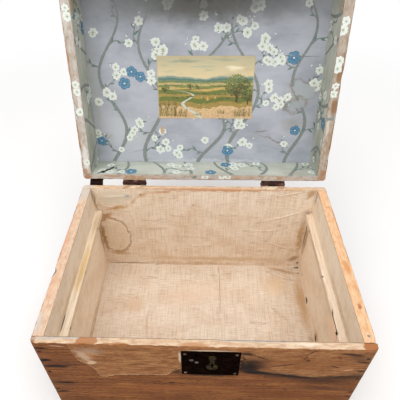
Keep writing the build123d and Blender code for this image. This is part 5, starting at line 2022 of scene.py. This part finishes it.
class LidPaper:
    """The paper on the lid's panel and walls, with its print, and the card pasted on it."""

    card_width, card_height = CARD_SIZE
    card_centre = 1.7
    card_from_back = 88.5
    card_margin = 0.6
    card_thick = 0.2
    card_stand = 0.34
    thick = 0.2
    clear = 0.4
    foot = 0.5
    print_level = 0.33
    card_print_level = 0.04
    rim_print_level = -0.05

    def faces(self) -> list[PaperFace]:
        """The five papered faces.

        Returns:
            The panel and the four walls.
        """
        x, y, top = TRUNK.inner_x, TRUNK.inner_y, TRUNK.lid_ceiling
        half = TRUNK.half_depth
        panel = mark_rows(
            (154, 128, 34, 30, "a19b92", 20, 0.9, 0.6), (158, 138, 25, 15, "8b8174", -24, 0.16, 0.7, 0.1),
            (150, 112, 22, 13, "908679", 26, 0.2, 0.65, 0.12), (160, 136, 22, 12, "a8aeb1", -24, 0.16, 0.95),
            (150, 112, 17, 9, "a4aaad", 26, 0.2, 0.9), (133, 108, 9, 4, "7f766b", 50, 0.8, 0.7),
            (120, 48, 40, 2.6, "8a8178", -24, 0.6, 0.7), (96, 66, 16, 1.8, "857d75", 8, 0.6, 0.7),
            (-110, 30, 26, 1.8, "8d8880", 12, 0.6, 0.6), (150, 80, 30, 22, "979490", 10, 0.9, 0.6),
            (131, 188, 56, 0.9, "77736f", -1, 0.5, 0.95), (-161, 56, 9, 1.8, "a59374", 42, 0.4),
            (-70, 67, 3.4, 6, "c9a176", 0, 0.4, 0.95), (-7.5, 264, 2, 4.6, "15110f", 0, 0.4),
            # The two wide dark marks at up 262 and 275, along the panel's edge at the front wall, are painted shadow
            # of that wall.
            (0, 262, 230, 40, "62615c", 0, 0.9, 0.9), (0, 275, 200, 12, "4c4b46", 0, 0.9, 0.85),
            (-110, 52, 36, 14, "b2b0aa", -30, 0.9, 0.5), (-178, 130, 8, 130, "adb0ab", 0, 0.8, 0.7),
            (-130, 60, 70, 60, "c2c6ca", 0, 0.9, 0.7), (0, 11, 190, 5, "c4c8cc", 0, 0.7, 0.7),
        )
        back = mark_rows(
            (0, 26, 260, 36, "d2d4c8", 0, 0.9, 0.5), (-164, 12, 30, 8, "c9ccc9", 52, 0.8, 0.6),
            (-164, 17, 30, 3, "0e0b09", 52, 0.5), (0, 2, 190, 4, "bfb5a8", 0, 0.7, 0.8),
            (-90, 20, 60, 12, "c4c7bd", 0, 0.8, 0.5), (60, 30, 70, 14, "b6b9a8", 0, 0.8, 0.6),
            (150, 12, 26, 8, "b7ab9d", 0, 0.7, 0.7),
        )
        sides = mark_rows(
            (60, 26, 60, 16, "9da291", 0, 0.8, 0.6), (200, 20, 60, 14, "c2c3b8", 0, 0.8, 0.6),
            (262, 8, 13, 9, "c2a986", 0, 0.3, 0.9), (140, 4, 140, 5, "c4c0b4", 0, 0.7, 0.7),
            (30, 30, 20, 20, "88877b", 0, 0.9, 0.6), (120, 44, 80, 4, "83857a", 0, 0.8, 0.6),
        )
        wide, deep = (-x, x), (half - y, half + y)
        inner = (deep[0] + self.clear, deep[1] - self.clear)
        tall = (self.foot, top - TRUNK.lid_rim - self.clear)
        ceiling = FlatFace((0, half, top), (1, 0, 0), (0, -1, 0), (0, 0, -1))
        found = [PaperFace("lid_panel_lining", ceiling, wide, deep, PaperTone.PANEL, panel, 5, 8, 11)]
        for name, side, seed in (("back", 1, 22), ("front", -1, 33)):
            wall = FlatFace((0, side * y, TRUNK.lid_rim), (1, 0, 0), (0, 0, 1), (0, -side, 0))
            found.append(PaperFace(f"lid_{name}_lining", wall, wide, tall, PaperTone.WALL, back, 6, 3, seed))
        for name, side, seed in (("left", -1, 44), ("right", 1, 55)):
            wall = FlatFace((side * x, half, TRUNK.lid_rim), (0, -1, 0), (0, 0, 1), (-side, 0, 0))
            found.append(PaperFace(f"lid_{name}_lining", wall, inner, tall, PaperTone.WALL, sides, 5, 2, seed))
        return found

    def rims(self) -> list[PaperFace]:
        """The strips of paper left on the lid's rims.

        Returns:
            One face for each strip.
        """
        rim, x, y = TRUNK.lid_rim, TRUNK.half_width, TRUNK.half_depth
        strips = (
            ("left", (-x, y, rim), (0, -1, 0), (1, 0, 0), (6.0, 276.0), (2.5, 14.0), 1, 2, 66),
            ("right", (x, y, rim), (0, -1, 0), (-1, 0, 0), (6.0, 276.0), (2.5, 14.0), 2, 2, 77),
            ("back", (0, y, rim), (1, 0, 0), (0, -1, 0), (-90.0, 90.0), (2.5, 8.6), 1, 1, 88),
        )
        return [
            PaperFace(f"lid_{name}_rim", FlatFace(origin, along, inward, (0, 0, -1)), across, up, PaperTone.RIM, (),
                      stems, blooms, seed)
            for name, origin, along, inward, across, up, stems, blooms, seed in strips
        ]

    def card_lift(self, across: float, up: float) -> float:
        """How far the card's face stands off the paper at a point; its corners lift a little."""
        curl = (abs(2 * across / self.card_width - 1) * abs(2 * up / self.card_height - 1)) ** 4
        return self.card_stand + 1.1 * curl + 0.12 * ripple((across / 25, up / 25, 0), 3)

    def card(self) -> None:
        """Make the pasted card and its print."""
        left, back = self.card_centre - self.card_width / 2, TRUNK.half_depth - self.card_from_back
        sheet = FlatFace((left, back, TRUNK.lid_ceiling - self.clear), (1, 0, 0), (0, -1, 0), (0, 0, -1))
        blank = Blank()
        us, vs = stations(self.card_width, 4.0), stations(self.card_height, 4.0)
        sides = []
        for sunk in (self.card_thick, 0.0):
            rows = [[blank.point(sheet.at(u, v, self.card_lift(u, v) - sunk), (u, v, 0.0)) for u in us] for v in vs]
            blank.grid(rows)
            sides.append(rows)
        for ends in (0, -1):
            blank.grid([rows[ends] for rows in sides])
        for ends in (0, -1):
            blank.grid([[row[ends] for row in rows] for rows in sides])
        mount(blank.piece("curled_card", True, [CardFinish().make()]), "lid", "card", "pasted_card")
        margin = self.card_margin
        CardPrint(sheet, (margin, self.card_width - margin), (margin, self.card_height - margin), 77,
                  lambda u, v: self.card_lift(u, v) + self.card_print_level).make()

    def make(self) -> None:
        """Make the papered faces, their print and the card."""
        for face in self.faces():
            paper = PaperFinish(in_words(face.node), face.tone, face.marks)
            Lining(face.node, paper, face.sheet, face.across, face.up, self.thick, wave=0.1, on_lid=True).make()
            PaperPrint(face, self.print_level).make()
        for face in self.rims():
            PaperPrint(face, self.rim_print_level).make()
        self.card()


class IronWork:
    """The metal pieces that keep their own shape and get an old metal finish."""

    plate = MetalFinish("Lock plate iron", "0b0604", "170b07", "2b1a12", 0.0, 0.55, 0.3, 0.35, shine=0.0)
    case_hinge = MetalFinish("Lower hinge iron", "2c1814", "4e2c24", "8a625a", 0.3, 0.6, 0.7, 0.3, "e4cbae")
    lid_hinge = MetalFinish("Upper hinge iron", "2c1814", "4e2c24", "8a625a", 0.3, 0.6, 0.7, 0.3, "c2b9ae",
                            TRUNK.opening)
    nail = MetalFinish("Cut nail iron", "1c130e", "3a2418", "55483e", 0.1, 0.55, 0.4, 0.2, shine=0.1)
    steel = MetalFinish("Grey nail steel", "8f908e", "6d6a66", "c2c4c4", 0.85, 0.35, 0.7, 0.12)
    rivet = MetalFinish("Dull rivet steel", "5a534c", "3a3026", "a39f98", 0.4, 0.42, 0.6, 0.12)
    works = MetalFinish("Lock works steel", "4b4743", "3a2c22", "77736d", 0.75, 0.42, 0.5, 0.12)
    brass = MetalFinish("Tarnished brass", "2e2410", "171106", "5a4a22", 0.0, 0.5, 0.5, 0.15, shine=0.02)
    stud = MetalFinish("Plate nail iron", "3c2c20", "54402f", "9c8c7c", 0.3, 0.4, 0.8, 0.12)

    def make(self) -> None:
        """Dress every metal node."""
        groups = {
            self.plate: ("lock_plate", "hasp_hinge_plate", "hasp"),
            self.stud: ("lock_plate_nails", "hasp_plate_nails", "strap_case_tacks", "strap_lid_tacks"),
            self.case_hinge: (
                "left_hinge_case_leaf", "right_hinge_case_leaf", "left_hinge_pin", "right_hinge_pin",
                "case_hinge_screws",
            ),
            self.lid_hinge: ("left_hinge_lid_leaf", "right_hinge_lid_leaf", "lid_hinge_screws"),
            self.nail: (
                "front_board_nails", "back_board_nails", "bottom_board_nails", "runner_nails", "lid_frame_nails",
                "lid_panel_nails", "hasp_pin",
            ),
            self.steel: ("rim_nail",),
            self.rivet: ("lock_case_rivets",),
            self.works: ("lock_case", "lock_bolt", "lock_spring", "lock_key_pin"),
            self.brass: ("keyhole_escutcheon", "escutcheon_pins"),
        }
        for finish, nodes in groups.items():
            material = finish.make()
            for node in nodes:
                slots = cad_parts[node].data.materials
                slots.clear()
                slots.append(material)
            LOG.info("%s: on %d nodes", finish.name, len(nodes))


@dataclass(frozen=True)
class BackStrap:
    """The leather strap over the back seam, in one piece.

    Attributes:
        left: Where its left edge is.
        width: Its width.
        thick: Its thickness.
        seat: Depth at which it lies on the boards.
        free: How far from the hinges' axis its tacked ends begin.
        flat: Length of a tacked end.
        lead: How far each end goes on straight before the bend.
        flat_steps: Steps along a tacked end.
        bend_steps: Steps along the bend.
        cells: Steps across it.
    """

    left: float = -190.0
    width: float = 22.0
    thick: float = 1.6
    seat: float = 142.8
    free: float = 13.0
    flat: float = 20.0
    lead: float = 11.5
    flat_steps: int = 8
    bend_steps: int = 16
    cells: int = 10

    def path(self) -> list[Vector]:
        """The middle line from the case's end to the lid's end, in depth and height.

        Returns:
            Points in metres, open as it rests.
        """
        y = self.seat + self.thick / 2
        level = TRUNK.axis_z - self.free
        opened = TRUNK.opened()
        closed = [(y, level - self.flat), (y, level)]
        start = [Vector((0, a, b)) * MM for a, b in closed]
        end = [opened @ (Vector((0, a, 2 * TRUNK.axis_z - b)) * MM) for a, b in reversed(closed)]
        rise, fall = ((b - a).normalized() * self.lead * MM for a, b in (start, end))
        flat, bend = self.flat_steps, self.bend_steps
        points = [start[0].lerp(start[1], i / flat) for i in range(flat)]
        a, b, c, d = start[1], start[1] + rise, end[0] - fall, end[0]
        for t in (i / bend for i in range(bend + 1)):
            points.append(a * (1 - t) ** 3 + b * 3 * t * (1 - t) ** 2 + c * 3 * t * t * (1 - t) + d * t ** 3)
        return points + [end[0].lerp(end[1], i / flat) for i in range(1, flat + 1)]

    def make(self) -> None:
        """Make the strap, shaped bent between the case and the lid."""
        path = self.path()
        blank = Blank()
        half, wide, cells = self.thick / 2, self.width, self.cells
        section = [(0.0, -half * 0.4), (0.0, half * 0.4), (0.5, half)]
        section += [(wide * i / cells, half) for i in range(1, cells)]
        section += [(wide - 0.5, half), (wide, half * 0.4), (wide, -half * 0.4), (wide - 0.5, -half)]
        section += [(wide * (cells - i) / cells, -half) for i in range(1, cells)] + [(0.5, -half)]
        first, last = self.flat_steps, self.flat_steps + self.bend_steps
        rows, gone = [], 0.0
        for place, middle in enumerate(path):
            before, after = path[max(0, place - 1)], path[min(len(path) - 1, place + 1)]
            run = (after - before).normalized()
            normal = Vector((0, -run.z, run.y))
            gone += (middle - before).length / MM if place else 0.0
            row = []
            for across, out in section:
                waver = 0.25 * ripple((across / 8, gone / 9, 0), 4)
                edge = 0.4 * ripple((gone / 6, 0 if across < wide / 2 else 9, 1), 2)
                where = middle / MM + normal * -(out + (waver if first < place <= last else 0.0))
                wear = 1.0 if across < 1 or across > wide - 1 else 0.0
                row.append(blank.point((self.left + across + edge, where.y, where.z), (across, gone, out), wear))
            rows.append(row)
        blank.grid(rows, True)
        blank.face(rows[0])
        blank.face(rows[-1])
        made = blank.piece("bent_back_strap", False, [LeatherFinish().make()], 50.0)
        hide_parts("strap_case_half", "strap_lid_half")
        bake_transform(made)
        LOG.info("%s: %d faces, bends between trunk and lid", made.name, len(made.data.polygons))


class Studio:
    """A plain pale floor, soft light and the camera at the photograph's angle.

    Attributes:
        eye: The camera's place, in millimetres.
        tilt: Its turns about x, y and z, in degrees.
        focal: Its focal length, in pixels of the photograph.
        centre: The photograph's optical centre, in pixels.
        side: The photograph's side, in pixels.
        sensor: Width of the camera's sensor, in millimetres.
        sky: Strength of the sky light that falls on the trunk.
        lamps: Each lamp's name, place, aim, width and power, in metres and watts.
    """

    eye = (-1.8, -378.76, 637.43)
    tilt = (41.97, 1.87, 0.62)
    focal = 410.97
    centre = (188.57, 199.78)
    side = 400.0
    sensor = 36.0
    sky = 0.62
    lamps = (
        ("top_lamp", (0.0, -0.35, 2.2), (0.0, 0.0, 0.1), 2.2, 34.0),
        ("front_lamp", (-0.9, -2.2, 1.3), (0.0, 0.0, 0.25), 1.8, 16.0),
    )

    def floor(self) -> None:
        """Lay the floor."""
        n = Shader("Studio floor")
        where = n.add("TexCoord", {}, "Object")
        veil = n.add("TexNoise", {"Vector": where, "Scale": 3.0, "Detail": 2.0})
        material = n.finish(n.ramp(veil, [(0.3, "f6f5f4"), (0.7, "f8f7f6")]), 0.9, n.dents((veil, 0.02)))
        far = n.step(n.vector("LENGTH", where, output=1), 0.55, 1.5)
        seen = n.add("LightPath", {}, "Is Camera Ray")
        white = n.add("Emission", {"Color": "ffffff", "Strength": 1.0})
        shown = n.add("MixShader", {0: n.times(far, seen), 1: n.surface.outputs[0], 2: white})
        output = next(node for node in n.tree.nodes if node.type == "OUTPUT_MATERIAL")
        n.put(output.inputs[0], shown)
        mesh = bmesh.new()
        bmesh.ops.create_grid(mesh, x_segments=1, y_segments=1, size=6.0)
        data = bpy.data.meshes.new("studio_floor")
        mesh.to_mesh(data)
        mesh.free()
        data.materials.append(material)
        made = bpy.data.objects.new("studio_floor", data)
        bpy.context.scene.collection.objects.link(made)

    def light(self, name: str, at: Point, aim: Point, size: float, power: float) -> None:
        """Hang one soft lamp.

        Args:
            name: The lamp's name.
            at: Its place, in metres.
            aim: The place that it points at.
            size: Its width, in metres.
            power: Its power, in watts.
        """
        data = bpy.data.lights.new(name, "AREA")
        data.size = size
        data.energy = power
        made = bpy.data.objects.new(name, data)
        made.location = at
        made.rotation_euler = (Vector(aim) - Vector(at)).to_track_quat("-Z", "Y").to_euler()
        bpy.context.scene.collection.objects.link(made)

    def world(self) -> None:
        """Set the even sky light, which the camera and shiny things see as white."""
        world = bpy.data.worlds.new("Studio sky")
        bpy.context.scene.world = world
        world.use_nodes = True
        nodes, link = world.node_tree.nodes, world.node_tree.links.new
        nodes.clear()
        kinds = ("OutputWorld", "Background", "LightPath", "Math", "Math", "MapRange")
        output, light, rays, seen, shiny, strength = (nodes.new("ShaderNode" + kind) for kind in kinds)
        light.inputs[0].default_value = tint("ffffff")
        seen.operation = shiny.operation = "MAXIMUM"
        for start, end in (
            (rays.outputs["Is Camera Ray"], seen.inputs[0]), (rays.outputs["Is Glossy Ray"], shiny.inputs[0]),
            (rays.outputs["Is Transmission Ray"], shiny.inputs[1]), (shiny.outputs[0], seen.inputs[1]),
            (seen.outputs[0], strength.inputs[0]), (strength.outputs[0], light.inputs[1]),
            (light.outputs[0], output.inputs[0]),
        ):
            link(start, end)
        strength.inputs[3].default_value = self.sky

    def camera(self) -> None:
        """Set the camera where the photograph was taken from."""
        turns = [math.radians(angle) for angle in self.tilt]
        about_x, about_y, about_z = (Matrix.Rotation(turn, 3, axis) for turn, axis in zip(turns, "XYZ"))
        spin = about_z @ about_y @ about_x
        to_view = spin @ Matrix(((1, 0, 0), (0, 0, -1), (0, 1, 0)))
        axes = Matrix((to_view[0], -to_view[1], -to_view[2])).transposed().to_4x4()
        data = bpy.data.cameras.new("trunk_camera")
        data.sensor_fit = "HORIZONTAL"
        data.sensor_width = self.sensor
        data.lens = self.focal / self.side * self.sensor
        data.shift_x = (self.side / 2 - self.centre[0]) / self.side
        data.shift_y = (self.centre[1] - self.side / 2) / self.side
        data.clip_start, data.clip_end = 0.01, 50.0
        made = bpy.data.objects.new("trunk_camera", data)
        made.matrix_world = Matrix.Translation(Vector(self.eye) * MM) @ axes
        bpy.context.scene.collection.objects.link(made)
        bpy.context.scene.camera = made

    def make(self) -> None:
        """Set up the whole studio."""
        self.floor()
        for lamp in self.lamps:
            self.light(*lamp)
        self.world()
        self.camera()
        bpy.context.scene.view_settings.view_transform = "Standard"


def main() -> None:
    """Build and dress the whole trunk."""
    logging.basicConfig(level=logging.INFO, format="%(name)s %(message)s")
    parts = (Studio, Casework, LidCasework, TrayRunners, CaseLinings, LidPaper, IronWork, BackStrap)
    for part in parts:
        part().make()
    bpy.context.view_layer.update()


if __name__ == "__main__":
    main()
